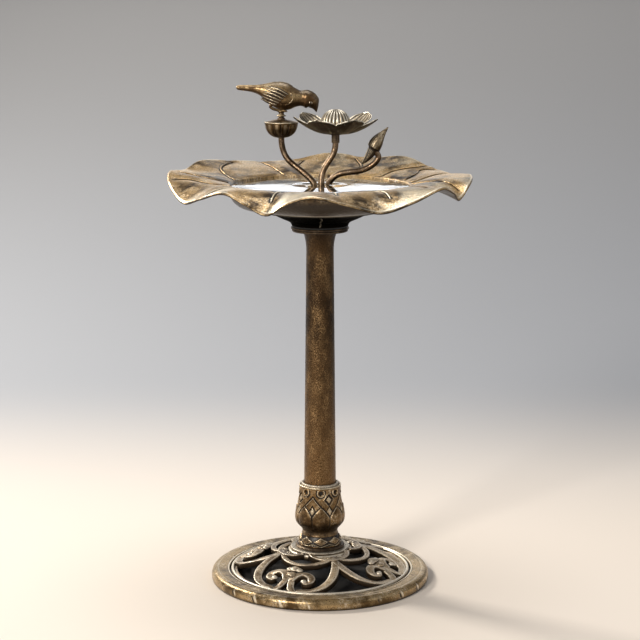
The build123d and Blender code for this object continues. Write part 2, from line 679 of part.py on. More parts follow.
def make_seed_pod():
    """Fluted lotus seed pod with a socket below and a hole for the bird's peg above."""
    with BuildPart() as pod:
        with BuildSketch(Plane.XZ):
            with BuildLine():
                neck = STEM_HOLE + 1.6
                middle = (POD_RADIUS * 0.86, POD_Z + POD_DEPTH * 0.45)
                belly = Spline((neck, POD_Z), middle, (POD_RADIUS, POD_RIM_Z - 1.5))
                Polyline(belly @ 1, (POD_RADIUS - 1.5, POD_RIM_Z), (POD_RADIUS - 4, POD_RIM_Z))
                edge = (POD_RADIUS - 4, POD_RIM_Z)
                crown = TangentArc(edge, (PEG_FOOT_RADIUS + 1, POD_TOP), tangent=(-1, 0.4))
                Polyline(crown @ 1, (0, POD_TOP), (0, POD_Z), belly @ 0)
            make_face()
        revolve(axis=Axis.Z)
        with BuildSketch(Plane.XY.offset(POD_Z)):
            Circle(STEM_HOLE)
        extrude(amount=POD_SOCKET, mode=Mode.SUBTRACT)
        with BuildSketch(Plane.XY.offset(POD_TOP)):
            Circle(PEG_ROOT_RADIUS + FIT_GAP)
        extrude(amount=-PEG_ROOT_DEPTH - 1, mode=Mode.SUBTRACT)
        with BuildSketch(Plane.XY.offset(POD_Z + POD_SOCKET * 0.6)):
            with PolarLocations(POD_RADIUS + 1.2, POD_FLUTES):
                Circle(2.0)
        extrude(amount=POD_DEPTH, mode=Mode.SUBTRACT)
    return pod.part.moved(Location((*POD_PLACE, 0)))


def make_bird_peg():
    """Turned brass peg in the pod's crown; its pin carries the bird."""
    flare = POD_TOP + 1.2
    with BuildPart() as peg:
        with BuildSketch(Plane.XZ):
            with BuildLine():
                Polyline(
                    (0, POD_TOP - PEG_ROOT_DEPTH),
                    (PEG_ROOT_RADIUS, POD_TOP - PEG_ROOT_DEPTH),
                    (PEG_ROOT_RADIUS, POD_TOP),
                    (PEG_FOOT_RADIUS, POD_TOP),
                    (PEG_FOOT_RADIUS, flare),
                    (PEG_RADIUS, flare + 2.5),
                    (PEG_RADIUS, PERCH_Z),
                    (PEG_PIN_RADIUS, PERCH_Z),
                    (PEG_PIN_RADIUS, PERCH_Z + PEG_PIN_LENGTH),
                    (0, PERCH_Z + PEG_PIN_LENGTH),
                    close=True,
                )
            make_face()
        revolve(axis=Axis.Z)
    return peg.part.moved(Location((*POD_PLACE, 0)))


# Bird: sections along its length as (distance ahead of the peg, middle's height above the perch,
# half height, half width).
BIRD_SECTIONS = [
    (-61, 34.5, 1.4, 4.0), (-50, 34.5, 3.2, 5.5), (-36, 33.0, 5.5, 7.5), (-21, 28.0, 13.0, 12.0),
    (-8, 25.0, 17.5, 15.5), (6, 23.0, 18.5, 16.0), (19, 21.3, 14.5, 13.5), (30, 20.3, 10.8, 11.0),
]
HEAD_PLACE = (37.5, 19.5)
HEAD_RADIUS = 11.6
BEAK_TIP = (48.0, 2.0)
LEG_RUN = [(-9, 15), (-14, 9.5), (-8, 3.5), (0, 2.0)]
LEG_RADIUS = 2.0
LEG_SPREAD = 5.5
PERCH_RADIUS = 6.5
PERCH_THICKNESS = 3.0


def make_bird():
    """Bird with folded wings, bent legs and a perch disc that turns on the peg."""
    with BuildPart() as bird:
        for ahead, high, tall, wide in BIRD_SECTIONS:
            with BuildSketch(Plane(origin=(ahead, 0, high), x_dir=(0, 1, 0), z_dir=(1, 0, 0))):
                Ellipse(wide, tall)
        loft()
        with Locations((HEAD_PLACE[0], 0, HEAD_PLACE[1])):
            Sphere(HEAD_RADIUS)
        lean = Vector(BEAK_TIP[0] - HEAD_PLACE[0], 0, BEAK_TIP[1] - HEAD_PLACE[1])
        root = Vector(HEAD_PLACE[0], 0, HEAD_PLACE[1]) + lean * 0.35
        with BuildSketch(Plane(origin=root, z_dir=lean)):
            Circle(6.0)
        with BuildSketch(Plane(origin=Vector(BEAK_TIP[0], 0, BEAK_TIP[1]), z_dir=lean)):
            Circle(0.8)
        loft()
        for side in (LEG_SPREAD, -LEG_SPREAD):
            points = [(ahead, side, high) for ahead, high in LEG_RUN]
            points[-1] = (LEG_RUN[-1][0], side / 2, LEG_RUN[-1][1])
            with BuildLine():
                Spline(*points)
            start = Vector(points[0])
            with BuildSketch(Plane(origin=start, z_dir=Vector(points[1]) - start)):
                Circle(LEG_RADIUS)
            sweep(transition=Transition.ROUND)
        with BuildSketch(Plane.XY):
            Circle(PERCH_RADIUS)
        extrude(amount=PERCH_THICKNESS)
        with BuildSketch(Plane.XY.offset(PERCH_THICKNESS)):
            Circle(PEG_PIN_RADIUS + 1.5)
        extrude(amount=6)
        with BuildSketch(Plane.XY):
            Circle(PEG_PIN_RADIUS + TURN_GAP)
        extrude(amount=PEG_PIN_LENGTH + 0.5, mode=Mode.SUBTRACT)
    return bird.part.moved(Location((*POD_PLACE, PERCH_Z)))


def make_ferrule():
    """Socket on top of the flower's stem, tapped for the screw."""
    with BuildPart() as ferrule:
        with BuildSketch(Plane.XY.offset(FERRULE_Z)):
            Circle(FERRULE_RADIUS)
        extrude(amount=FERRULE_LENGTH)
        with BuildSketch(Plane.XY.offset(FERRULE_Z)):
            Circle(STEM_HOLE)
        extrude(amount=FERRULE_LENGTH - FERRULE_FLOOR, mode=Mode.SUBTRACT)
        with BuildSketch(Plane.XY.offset(FLOWER_Z)):
            Circle(FLOWER_SCREW_RADIUS + SCREW_GAP)
        extrude(amount=-FERRULE_FLOOR, mode=Mode.SUBTRACT)
    return ferrule.part.moved(Location((*FLOWER_PLACE, 0)))


def make_petals():
    """Seven cupped petals stamped from one sheet."""
    flat = DOME_RADIUS * 0.6
    with BuildPart() as petals:
        with BuildSketch(Plane.XZ):
            with BuildLine():
                low = Spline(
                    (flat, FLOWER_Z),
                    (PETAL_REACH * 0.6, FLOWER_Z + PETAL_RISE * 0.26),
                    (PETAL_REACH, FLOWER_Z + PETAL_RISE - PETAL_SHEET),
                    tangents=[(1, 0), (1, 0.9)],
                )
                high = Spline(
                    (flat, FLOWER_Z + PETAL_SHEET),
                    (PETAL_REACH * 0.6, FLOWER_Z + PETAL_RISE * 0.26 + PETAL_SHEET),
                    (PETAL_REACH, FLOWER_Z + PETAL_RISE),
                    tangents=[(1, 0), (1, 0.9)],
                )
                Line(low @ 1, high @ 1)
                hole = FLOWER_SCREW_RADIUS + SCREW_GAP
                Polyline(low @ 0, (hole, FLOWER_Z), (hole, FLOWER_Z + PETAL_SHEET), high @ 0)
            make_face()
        revolve(axis=Axis.Z)
        with BuildSketch(Plane.XY.offset(FLOWER_Z - 1)):
            with BuildLine():
                half = 180 / PETAL_COUNT
                for petal in range(PETAL_COUNT):
                    turn = PETAL_TURN + petal * 2 * half
                    tip = polar(PETAL_REACH, turn)
                    for side in (-1, 1):
                        notch = polar(PETAL_NOTCH, turn + side * half)
                        shoulder = polar(PETAL_REACH * 0.885, turn + side * half * 0.62)
                        ThreePointArc(notch, shoulder, tip)
            make_face()
        extrude(amount=PETAL_RISE + 2, mode=Mode.INTERSECT)
    return petals.part.moved(Location((*FLOWER_PLACE, 0)))


def make_flower_screw():
    """Small pan-head screw that holds the petals on the ferrule."""
    top = FLOWER_Z + PETAL_SHEET
    with BuildPart() as screw:
        with BuildSketch(Plane.XY.offset(top)):
            Circle(FLOWER_SCREW_HEAD)
        extrude(amount=HEAD_HEIGHT)
        chamfer(screw.edges().group_by(Axis.Z)[-1], length=0.5)
        with BuildSketch(Plane.XY.offset(top)):
            Circle(FLOWER_SCREW_RADIUS)
        extrude(amount=-FLOWER_SCREW_LENGTH)
        with BuildSketch(Plane.XY.offset(top + HEAD_HEIGHT)):
            Rectangle(2 * FLOWER_SCREW_HEAD, 0.8)
        extrude(amount=-0.9, mode=Mode.SUBTRACT)
    return screw.part.moved(Location((*FLOWER_PLACE, 0)))


def make_seed_dome():
    """Ribbed seed head at the flower's centre; it hides the screw."""
    floor = FLOWER_Z + PETAL_SHEET
    with BuildPart() as dome:
        with BuildSketch(Plane.XZ):
            with BuildLine():
                root = DOME_RADIUS * 0.55
                cap = Spline(
                    (DOME_RADIUS, DOME_Z),
                    (DOME_RADIUS * 0.72, DOME_Z + DOME_HEIGHT * 0.72),
                    (0, DOME_Z + DOME_HEIGHT),
                    tangents=[(0, 1), (-1, 0)],
                )
                Polyline(
                    cap @ 1,
                    (0, floor + HEAD_HEIGHT + 0.5),
                    (FLOWER_SCREW_HEAD + 0.6, floor + HEAD_HEIGHT + 0.5),
                    (FLOWER_SCREW_HEAD + 0.6, floor),
                    (root, floor),
                    cap @ 0,
                )
            make_face()
        revolve(axis=Axis.Z)
    return dome.part.moved(Location((*FLOWER_PLACE, 0)))


def make_leaf_bud():
    """Furled young leaf, pointed at both ends, with a socket for its stem."""
    along = Plane(origin=BUD_START, x_dir=(0, 1, 0), z_dir=BUD_AXIS)
    with BuildPart() as bud:
        with BuildSketch(Plane.XZ):
            with BuildLine():
                side = Spline(
                    (0.8, 0),
                    (BUD_RADIUS * 0.7, BUD_LENGTH * 0.22),
                    (BUD_RADIUS, BUD_LENGTH * BUD_JOIN),
                    (BUD_RADIUS * 0.66, BUD_LENGTH * 0.72),
                    (0.6, BUD_LENGTH),
                )
                Polyline(side @ 1, (0, BUD_LENGTH), (0, 0), side @ 0)
            make_face()
        revolve(axis=Axis.Z)
    socket = Plane(origin=BUD_STEM_TOP, z_dir=-BUD_ENTRY)
    with BuildPart() as drilled:
        add(bud.part.moved(along.location))
        with BuildSketch(socket):
            Circle(STEM_HOLE)
        extrude(amount=2 * BUD_RADIUS, mode=Mode.SUBTRACT)
    return drilled.part


STUD_WASHER_Z = FOOT_WEB_Z - STUD_WASHER_THICKNESS
STUD_NUT_Z = STUD_WASHER_Z - STUD_NUT_HEIGHT


def make_rod_washer(bottom):
    """Washer under one of the tie rod's nuts."""
    return ring(ROD_HOLE, ROD_WASHER_RADIUS, bottom, bottom + ROD_WASHER_THICKNESS)


def make_stud_washer():
    """Washer between the bowl's foot and the stud's nut."""
    return ring(STUD_HOLE, STUD_WASHER_RADIUS, STUD_WASHER_Z, FOOT_WEB_Z)


PIECES = {
    "base_plate": make_base_plate,
    "base_rim": make_base_rim,
    "base_screws": make_base_screws,
    "scroll_panel": make_scroll_panel,
    "hub_ring": make_hub_ring,
    "collar_seat_step": make_seat_step,
    "collar": make_collar,
    "collar_trim_ring": make_collar_trim,
    "column": make_column,
    "column_head": make_column_head,
    "tie_rod": make_tie_rod,
    "lower_rod_washer": lambda: make_rod_washer(LOWER_WASHER_Z),
    "lower_rod_nut": lambda: hex_nut(ROD_NUT_FLATS, ROD_RADIUS, LOWER_NUT_Z, ROD_NUT_HEIGHT),
    "upper_rod_washer": lambda: make_rod_washer(FLANGE_TOP),
    "upper_rod_nut": lambda: hex_nut(ROD_NUT_FLATS, ROD_RADIUS, UPPER_NUT_Z, ROD_NUT_HEIGHT),
    "nylon_seat_ring": make_seat_ring,
    "bowl_foot": make_bowl_foot,
    "leaf_bowl": make_leaf_bowl,
    "bowl_gasket": make_bowl_gasket,
    "ornament_foot": make_ornament_foot,
    "stud_washer": make_stud_washer,
    "stud_nut": lambda: hex_nut(STUD_NUT_FLATS, STUD_RADIUS, STUD_NUT_Z, STUD_NUT_HEIGHT),
    "pod_stem": lambda: make_stem(POD_STEM_FOOT, POD_STEM_RUN, POD_STEM_TOP, UP, POD_SOCKET + 1),
    "seed_pod": make_seed_pod,
    "bird_peg": make_bird_peg,
    "bird": make_bird,
    "flower_stem": lambda: make_stem(
        FLOWER_STEM_FOOT, FLOWER_STEM_RUN, FLOWER_STEM_TOP, UP, FERRULE_LENGTH - FERRULE_FLOOR + 1
    ),
    "flower_ferrule": make_ferrule,
    "flower_petals": make_petals,
    "flower_screw": make_flower_screw,
    "seed_dome": make_seed_dome,
    "bud_stem": lambda: make_stem(BUD_STEM_FOOT, BUD_STEM_RUN, BUD_STEM_TOP, BUD_ENTRY, BUD_RADIUS + 3),
    "leaf_bud": make_leaf_bud,
}

os.makedirs("parts", exist_ok=True)
for name, make in PIECES.items():
    piece = make()
    piece.label = name
    export_step(piece, f"parts/{name}.step")
    print(name, "solids:", len(piece.solids()), "valid:", piece.is_valid, "mm3:", round(piece.volume))
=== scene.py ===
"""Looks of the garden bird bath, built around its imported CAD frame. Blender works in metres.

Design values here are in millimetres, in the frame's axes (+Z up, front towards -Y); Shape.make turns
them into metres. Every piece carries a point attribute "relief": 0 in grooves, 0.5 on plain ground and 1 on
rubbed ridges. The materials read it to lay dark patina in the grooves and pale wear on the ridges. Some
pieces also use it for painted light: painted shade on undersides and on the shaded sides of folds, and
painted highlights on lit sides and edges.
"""

from math import cos, pi, radians, sin, tau

import bpy
import numpy as np
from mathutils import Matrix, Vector


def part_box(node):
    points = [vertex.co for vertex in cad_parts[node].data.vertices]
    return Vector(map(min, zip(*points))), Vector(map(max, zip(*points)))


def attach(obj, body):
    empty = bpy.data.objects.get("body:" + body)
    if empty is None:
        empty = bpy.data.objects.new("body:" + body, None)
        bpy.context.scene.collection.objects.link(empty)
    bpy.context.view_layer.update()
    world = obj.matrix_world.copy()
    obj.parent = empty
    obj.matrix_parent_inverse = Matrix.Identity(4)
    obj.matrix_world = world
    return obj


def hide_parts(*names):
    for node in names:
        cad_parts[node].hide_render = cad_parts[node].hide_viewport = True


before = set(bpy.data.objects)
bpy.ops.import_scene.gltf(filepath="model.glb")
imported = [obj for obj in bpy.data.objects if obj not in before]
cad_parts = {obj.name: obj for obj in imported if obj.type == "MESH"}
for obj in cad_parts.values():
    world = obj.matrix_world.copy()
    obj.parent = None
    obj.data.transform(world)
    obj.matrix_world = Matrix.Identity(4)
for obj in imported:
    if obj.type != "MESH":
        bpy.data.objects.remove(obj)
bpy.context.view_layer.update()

MM = 0.001


def edges_mm(node):
    """Lowest and highest corner of a CAD node, in millimetres."""
    low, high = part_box(node)
    return np.array(low) / MM, np.array(high) / MM


# ---------------------------------------------------------------- mesh helpers
class Shape:
    """Collects points, faces and relief of several parts, to make one piece."""

    def __init__(self):
        self.points, self.faces, self.relief, self.count = [], [], [], 0

    def rings(self, grid, relief, loop=False, flip=False):
        """Skin over an array (rings, around, 3), with end caps unless loop joins the two end rings."""
        grid = np.asarray(grid, float)
        rings, around = grid.shape[:2]
        start = self.count
        self.points.append(grid.reshape(-1, 3))
        self.relief.append(np.broadcast_to(relief, (rings, around)).reshape(-1))
        for i in range(rings if loop else rings - 1):
            below = start + i * around
            above = start + (i + 1) % rings * around
            for j in range(around):
                k = (j + 1) % around
                quad = (below + j, below + k, above + k, above + j)
                self.faces.append(quad[::-1] if flip else quad)
        self.count += rings * around
        if not loop:
            first = list(range(start, start + around))
            last = list(range(self.count - around, self.count))
            self.faces += [first if flip else first[::-1], last[::-1] if flip else last]

    def make(self, name, material, body, stands_for=()):
        """A named object, riding on a body and standing for CAD nodes."""
        data = bpy.data.meshes.new(name)
        data.from_pydata((np.concatenate(self.points) * MM).tolist(), [], self.faces)
        data.update()
        layer = data.attributes.new("relief", "FLOAT", "POINT")
        layer.data.foreach_set("value", np.clip(np.concatenate(self.relief), 0, 1).astype(np.float32))
        data.shade_smooth()
        data.materials.append(material)
        piece = bpy.data.objects.new(name, data)
        bpy.context.scene.collection.objects.link(piece)
        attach(piece, body)
        if stands_for:
            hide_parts(*stands_for)


def smooth_step(low, high, value):
    """0 below low, 1 above high, smooth between."""
    t = np.clip((value - low) / (high - low), 0, 1)
    return t * t * (3 - 2 * t)


def bell(value, middle, width):
    """1 at the middle, falling to nothing a few widths away."""
    return np.exp(-(((value - middle) / width) ** 2))


def spline(points, count):
    """Smooth curve of count points through the given ones, evenly spread along its length."""
    p = np.asarray(points, float)
    ext = np.vstack([2 * p[0] - p[1], p, 2 * p[-1] - p[-2]])
    chord = np.maximum(np.linalg.norm(np.diff(ext, axis=0), axis=1), 1e-6) ** 0.5
    knots = np.concatenate([[0], np.cumsum(chord)])
    fine = []
    for i in range(1, len(ext) - 2):
        t0, t1, t2, t3 = knots[i - 1 : i + 3]
        p0, p1, p2, p3 = ext[i - 1 : i + 3]
        t = np.linspace(t1, t2, 24, endpoint=i == len(ext) - 3)[:, None]
        a1 = (t1 - t) / (t1 - t0) * p0 + (t - t0) / (t1 - t0) * p1
        a2 = (t2 - t) / (t2 - t1) * p1 + (t - t1) / (t2 - t1) * p2
        a3 = (t3 - t) / (t3 - t2) * p2 + (t - t2) / (t3 - t2) * p3
        b1 = (t2 - t) / (t2 - t0) * a1 + (t - t0) / (t2 - t0) * a2
        b2 = (t3 - t) / (t3 - t1) * a2 + (t - t1) / (t3 - t1) * a3
        fine.append((t2 - t) / (t2 - t1) * b1 + (t - t1) / (t2 - t1) * b2)
    fine = np.vstack(fine)
    run = np.concatenate([[0], np.cumsum(np.linalg.norm(np.diff(fine, axis=0), axis=1))])
    at = np.linspace(0, run[-1], count)
    return np.stack([np.interp(at, run, fine[:, k]) for k in range(fine.shape[1])], -1)


def unit(vectors):
    return vectors / np.maximum(np.linalg.norm(vectors, axis=1), 1e-9)[:, None]


def frames(path, up):
    """Unit sides and normals along a path; the normals lean towards up."""
    tangent = unit(np.gradient(path, axis=0))
    side = unit(np.cross(tangent, np.broadcast_to(np.asarray(up, float), path.shape)))
    return side, np.cross(side, tangent)


def tube(shape, path, radius, around=20, up=(0, 0, 1), relief=0.5, flat=1.0):
    """Adds a round bar along a path; radius may change along it, and flat squeezes it along up."""
    path = np.asarray(path, float)
    side, normal = frames(path, up)
    turn = np.linspace(0, tau, around, endpoint=False)[None, :, None]
    radius = np.broadcast_to(radius, len(path))[:, None, None]
    ring = side[:, None] * np.cos(turn) + normal[:, None] * (flat * np.sin(turn))
    shape.rings(path[:, None] + ring * radius, relief, flip=True)


def bar(shape, path, width):
    """Adds a bar with the scrollwork's moulded section."""
    side, normal = frames(path, (0, 0, 1))
    across, high, relief = np.array(BAR_SECTION).T[:, None, :, None]
    width = np.broadcast_to(width, len(path))[:, None, None]
    grid = path[:, None] + side[:, None] * across * width + normal[:, None] * high * np.minimum(1, width / 5)
    shape.rings(grid, relief[..., 0])


def lathe(shape, profile, around=180, centre=(0, 0), move=None):
    """Adds a turned skin from (radius, height, relief) rows, which move(angle, *row) may shift."""
    turn = np.linspace(0, tau, around, endpoint=False)
    radius, height, relief = np.repeat(np.asarray(profile, float).T[..., None], around, 2)
    if move:
        radius, height, relief = move(turn[None, :], radius, height, relief)
    grid = np.stack([centre[0] + radius * np.cos(turn), centre[1] + radius * np.sin(turn), height], -1)
    shape.rings(grid, relief, loop=True)


def dense(profile, step=1.0):
    """Adds rows to a (radius, height, relief) profile so that none is further apart than step."""
    rows = []
    for a, b in zip(profile[:-1], profile[1:]):
        a, b = np.asarray(a, float), np.asarray(b, float)
        pieces = max(1, int(np.linalg.norm((b - a)[:2]) / step))
        rows += [a + (b - a) * k / pieces for k in range(pieces)]
    return np.array(rows + [np.asarray(profile[-1], float)])


def ball(shape, centre, radii, relief):
    """Adds an egg shape."""
    lift = np.linspace(-pi / 2 + 0.05, pi / 2 - 0.05, 12)[:, None]
    turn = np.linspace(0, tau, 18, endpoint=False)[None, :]
    unit_ball = [np.cos(lift) * np.cos(turn), np.cos(lift) * np.sin(turn), np.sin(lift) * np.ones_like(turn)]
    shape.rings(np.asarray(centre) + np.stack(unit_ball, -1) * radii, relief)


# ---------------------------------------------------------------- materials
def node_of(tree, kind, **values):
    """A shader node with its settings and input values; in an input's name, _ stands for a space."""
    made = tree.nodes.new(kind)
    for key, value in values.items():
        if hasattr(made, key) and key not in made.inputs:
            setattr(made, key, value)
        else:
            made.inputs[key.replace("_", " ")].default_value = value
    return made


def feed(tree, value, socket):
    """Links a socket to an input, or sets a plain number or colour on it."""
    if isinstance(value, bpy.types.NodeSocket):
        tree.links.new(value, socket)
    else:
        socket.default_value = (*value, 1.0) if isinstance(value, tuple) else value


def mix(tree, factor, first, second):
    """Colour mix; factor, first and second are sockets or plain values."""
    made = node_of(tree, "ShaderNodeMix", data_type="RGBA")
    for value, socket in ((factor, 0), (first, 6), (second, 7)):
        feed(tree, value, made.inputs[socket])
    return made.outputs[2]


def maths(tree, operation, *values):
    """Math node on sockets or plain numbers."""
    made = node_of(tree, "ShaderNodeMath", operation=operation)
    for value, socket in zip(values, made.inputs):
        feed(tree, value, socket)
    return made.outputs[0]


def ramp(tree, source, low, high, start=0.0, end=1.0, kind="SMOOTHSTEP"):
    """Maps a value from low..high to start..end, clamped."""
    ends = {"From_Min": low, "From_Max": high, "To_Min": start, "To_Max": end}
    made = node_of(tree, "ShaderNodeMapRange", interpolation_type=kind, **ends)
    feed(tree, source, made.inputs["Value"])
    return made.outputs["Result"]


def axis_of(tree, source, axis):
    """One axis of a vector."""
    made = tree.nodes.new("ShaderNodeSeparateXYZ")
    feed(tree, source, made.inputs["Vector"])
    return made.outputs[axis]


def noise(tree, place, scale, detail=4.0, rough=0.55, warp=0.0):
    made = node_of(tree, "ShaderNodeTexNoise", Scale=scale, Detail=detail, Roughness=rough, Distortion=warp)
    feed(tree, place, made.inputs["Vector"])
    return made.outputs["Fac"]


def bumps(tree, shader, height, strength, distance):
    """Raises the shaded surface by a height."""
    made = node_of(tree, "ShaderNodeBump", Strength=strength, Distance=distance)
    feed(tree, height, made.inputs["Height"])
    feed(tree, made.outputs["Normal"], shader.inputs["Normal"])


def new_material(name, **values):
    """A material with some shader inputs set; gives its tree, its shader and the place on the piece too."""
    made = bpy.data.materials.new(name)
    made.use_nodes = True
    tree = made.node_tree
    shader = tree.nodes["Principled BSDF"]
    for key, value in values.items():
        feed(tree, value, shader.inputs[key.replace("_", " ")])
    return made, tree, shader, tree.nodes.new("ShaderNodeTexCoord").outputs["Object"]


def shade(base, share):
    """A colour made darker, or lighter where share is over 1."""
    return tuple(min(1, share * c) for c in base)


def patina(
    name, dark, ground, pale, relief=True, grain=420.0, bump=0.35, metal=0.75, rough=0.42, worn=0.5,
    stretch=1.0, under=0.85, lighter_below=None, **values,
):
    """Antique bronze: dark patina in the grooves, painted shade on downward faces, mottled ground, pale
    where it is rubbed.

    relief tells whether the piece carries the relief attribute. grain is the mottling's fineness, worn how
    much of the ground is rubbed pale, and stretch draws the stains out along the height. under is how
    strongly the downward faces are darkened as painted shade. lighter_below is a height in metres under
    which the ground grows lighter.
    """
    made, tree, shader, place = new_material(name, Metallic=metal, **values)
    drawn = node_of(tree, "ShaderNodeMapping", Scale=(1.0, 1.0, stretch))
    feed(tree, place, drawn.inputs["Vector"])
    stains = noise(tree, drawn.outputs["Vector"], 14.0, 5.0, 0.6, 0.4)
    blotch = noise(tree, drawn.outputs["Vector"], 55.0, 4.0, 0.6)
    fine = noise(tree, place, grain, 3.0, 0.6)
    specks = noise(tree, place, 1.5 * grain, 2.0, 0.7)
    geometry = tree.nodes.new("ShaderNodeNewGeometry").outputs
    body = mix(tree, ramp(tree, stains, 0.40, 0.60), dark, ground)
    body = mix(tree, ramp(tree, blotch, 0.40, 0.66), body, ground)
    if lighter_below:
        low_down = ramp(tree, axis_of(tree, geometry["Position"], "Z"), lighter_below, 0.1)
        body = mix(tree, low_down, body, shade(ground, 2.4))
    spots = ramp(tree, blotch, 0.62 - 0.3 * worn, 0.80)
    body = mix(tree, maths(tree, "MULTIPLY", ramp(tree, fine, 0.45, 0.60), spots), body, pale)
    body = mix(tree, ramp(tree, specks, 0.47, 0.34), body, shade(dark, 0.5))
    if relief:
        mark = node_of(tree, "ShaderNodeAttribute", attribute_name="relief").outputs["Fac"]
        ridge = maths(tree, "ADD", mark, maths(tree, "MULTIPLY_ADD", fine, 0.24, -0.12))
        body = mix(tree, ramp(tree, ridge, 0.60, 0.92), body, pale)
        body = mix(tree, ramp(tree, ridge, 0.40, 0.10), body, shade(dark, 0.16))
        hollow = ramp(tree, ridge, 0.45, 0.10)
        feed(tree, ramp(tree, hollow, 0, 1, metal, 0.1, "LINEAR"), shader.inputs["Metallic"])
    # painted shade: faces turned downwards are darkened towards the dark colour, by as much as under
    painted_underside_shade = ramp(tree, axis_of(tree, geometry["Normal"], "Z"), 0.12, -0.42)
    body = mix(tree, maths(tree, "MULTIPLY", painted_underside_shade, under), body, shade(dark, 0.35))
    feed(tree, body, shader.inputs["Base Color"])
    feed(tree, ramp(tree, blotch, 0, 1, rough - 0.12, rough + 0.2, "LINEAR"), shader.inputs["Roughness"])
    pits = node_of(tree, "ShaderNodeTexVoronoi", Scale=grain * 0.6)
    feed(tree, place, pits.inputs["Vector"])
    bumps(tree, shader, maths(tree, "ADD", fine, pits.outputs["Distance"]), bump, 0.0006)
    return made


def plain(name, base, metal, rough):
    """Simple hidden-part material with slight mottling."""
    made, tree, shader, place = new_material(name, Metallic=metal, Roughness=rough)
    fine = noise(tree, place, 900.0, 2.0)
    feed(tree, mix(tree, fine, shade(base, 0.8), shade(base, 1.15)), shader.inputs["Base Color"])
    bumps(tree, shader, fine, 0.15, 0.0003)
    return made


def water_material():
    """Clear still water with the faintest swell."""
    made, tree, shader, place = new_material(
        "still_water", Base_Color=(0.93, 0.97, 1.0), Transmission_Weight=1.0, IOR=1.36, Roughness=0.02
    )
    bumps(tree, shader, noise(tree, place, 9.0, 2.0), 0.03, 0.002)
    return made


GOLD_PALE = (0.78, 0.66, 0.47)
CHAMPAGNE = (0.80, 0.74, 0.62)
leaf_metal = patina(
    "leaf_bronze", (0.045, 0.025, 0.009), (0.60, 0.39, 0.17), (0.94, 0.83, 0.63),
    grain=460, worn=0.75, under=0.97, metal=0.70, rough=0.33, bump=0.5,
)
# the foot's near-black colours are its dark patina and also painted shade under the leaf bowl
foot_metal_painted_shade = patina(
    "foot_bronze_painted_shade", (0.004, 0.003, 0.002), (0.010, 0.007, 0.004), CHAMPAGNE,
    worn=-0.6, under=0.9, rough=0.5, metal=0.95, Specular_Tint=(0.2, 0.16, 0.12),
)
rim_metal = patina(
    "rim_bronze", (0.11, 0.065, 0.022), (0.50, 0.345, 0.165), (0.90, 0.80, 0.62),
    worn=0.72, rough=0.28, metal=0.72,
)
scroll_metal = patina(
    "scroll_bronze", (0.15, 0.095, 0.050), (0.55, 0.42, 0.27), (0.88, 0.80, 0.66),
    worn=0.7, rough=0.36, metal=0.6,
)
collar_metal = patina(
    "collar_bronze", (0.075, 0.043, 0.018), (0.30, 0.185, 0.080), GOLD_PALE,
    worn=0.45, rough=0.34, metal=0.85,
)
column_metal = patina(
    "column_bronze", (0.016, 0.009, 0.004), (0.090, 0.050, 0.020), (0.50, 0.32, 0.15), relief=False,
    grain=700, bump=1.0, worn=0.85, stretch=0.5, rough=0.36, metal=0.85, lighter_below=0.36,
)
head_metal = patina(
    "dark_bronze", (0.05, 0.034, 0.022), (0.17, 0.12, 0.075), (0.48, 0.38, 0.26), relief=False
)
hub_metal = patina("hub_bronze", (0.40, 0.34, 0.26), (0.66, 0.59, 0.48), CHAMPAGNE, relief=False, worn=0.9)
stem_metal = patina(
    "stem_bronze", (0.09, 0.055, 0.030), (0.30, 0.20, 0.12), (0.66, 0.52, 0.36), relief=False,
    grain=600, rough=0.30, worn=0.7, metal=0.85,
)
ornament_metal = patina(
    "ornament_bronze", (0.075, 0.048, 0.026), (0.44, 0.345, 0.215), CHAMPAGNE,
    worn=0.5, under=0.97, rough=0.34,
)
bird_metal = patina(
    "bird_bronze", (0.14, 0.075, 0.030), (0.68, 0.48, 0.23), GOLD_PALE,
    grain=500, worn=0.55, rough=0.30, under=0.98, metal=0.7,
)
brass_metal = patina("aged_brass", (0.10, 0.065, 0.03), (0.32, 0.22, 0.11), (0.5, 0.38, 0.2), relief=False)
steel = plain("zinc_steel", (0.55, 0.55, 0.56), 0.9, 0.35)
primer = plain("black_primer", (0.03, 0.027, 0.024), 0.1, 0.7)
nylon = plain("black_nylon", (0.03, 0.03, 0.03), 0.0, 0.5)
rubber = plain("gasket_rubber", (0.02, 0.02, 0.02), 0.0, 0.8)
water_look = water_material()

# CAD nodes that keep their mesh, by material.
KEPT = [
    (primer, "base_plate"),
    (steel, "base_screws tie_rod lower_rod_washer lower_rod_nut upper_rod_washer upper_rod_nut"),
    (steel, "stud_washer stud_nut"),
    (hub_metal, "hub_ring collar_trim_ring"),
    (head_metal, "collar_seat_step column_head flower_ferrule"),
    (column_metal, "column"),
    (nylon, "nylon_seat_ring"),
    (rubber, "bowl_gasket"),
    (brass_metal, "ornament_foot flower_screw"),
    (stem_metal, "pod_stem flower_stem bud_stem bird_peg"),
]
for look, nodes in KEPT:
    for node in nodes.split():
        for material_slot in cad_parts[node].material_slots:
            material_slot.material = look

# ---------------------------------------------------------------- leaf bowl
leaf_low, _ = edges_mm("leaf_bowl")
LEAF_WALL = 3.0
BASIN_RADIUS = 126.0
LIP_Z = leaf_low[2] + LEAF_WALL + 30.0
FLOOR_CURVE = 24.0
LEAF_RADIUS = 208.0
LEAF_SWELL = 5.0
MARGIN_LEAN = 0.25

# The leaf's margin, as in the design: direction in degrees, and height above the lip.
MARGIN = [
    (0, 11.0), (14, 8.0), (28, 5.0), (41, 11.0), (54, 21.5), (70, 17.5), (86, 23.0), (100, 14.0),
    (112, 12.0), (128, 16.0), (145, 20.0), (157, 11.0), (174, 15.0), (188, 4.0), (206, -15.0), (220, -5.0),
    (233, 6.0), (242, -7.0), (250, -19.0), (258, -4.0), (267, 5.0), (280, -6.0), (293, -17.0), (306, -6.0),
    (320, 8.5), (329, 0.0), (336, -11.5), (347, 4.0),
]

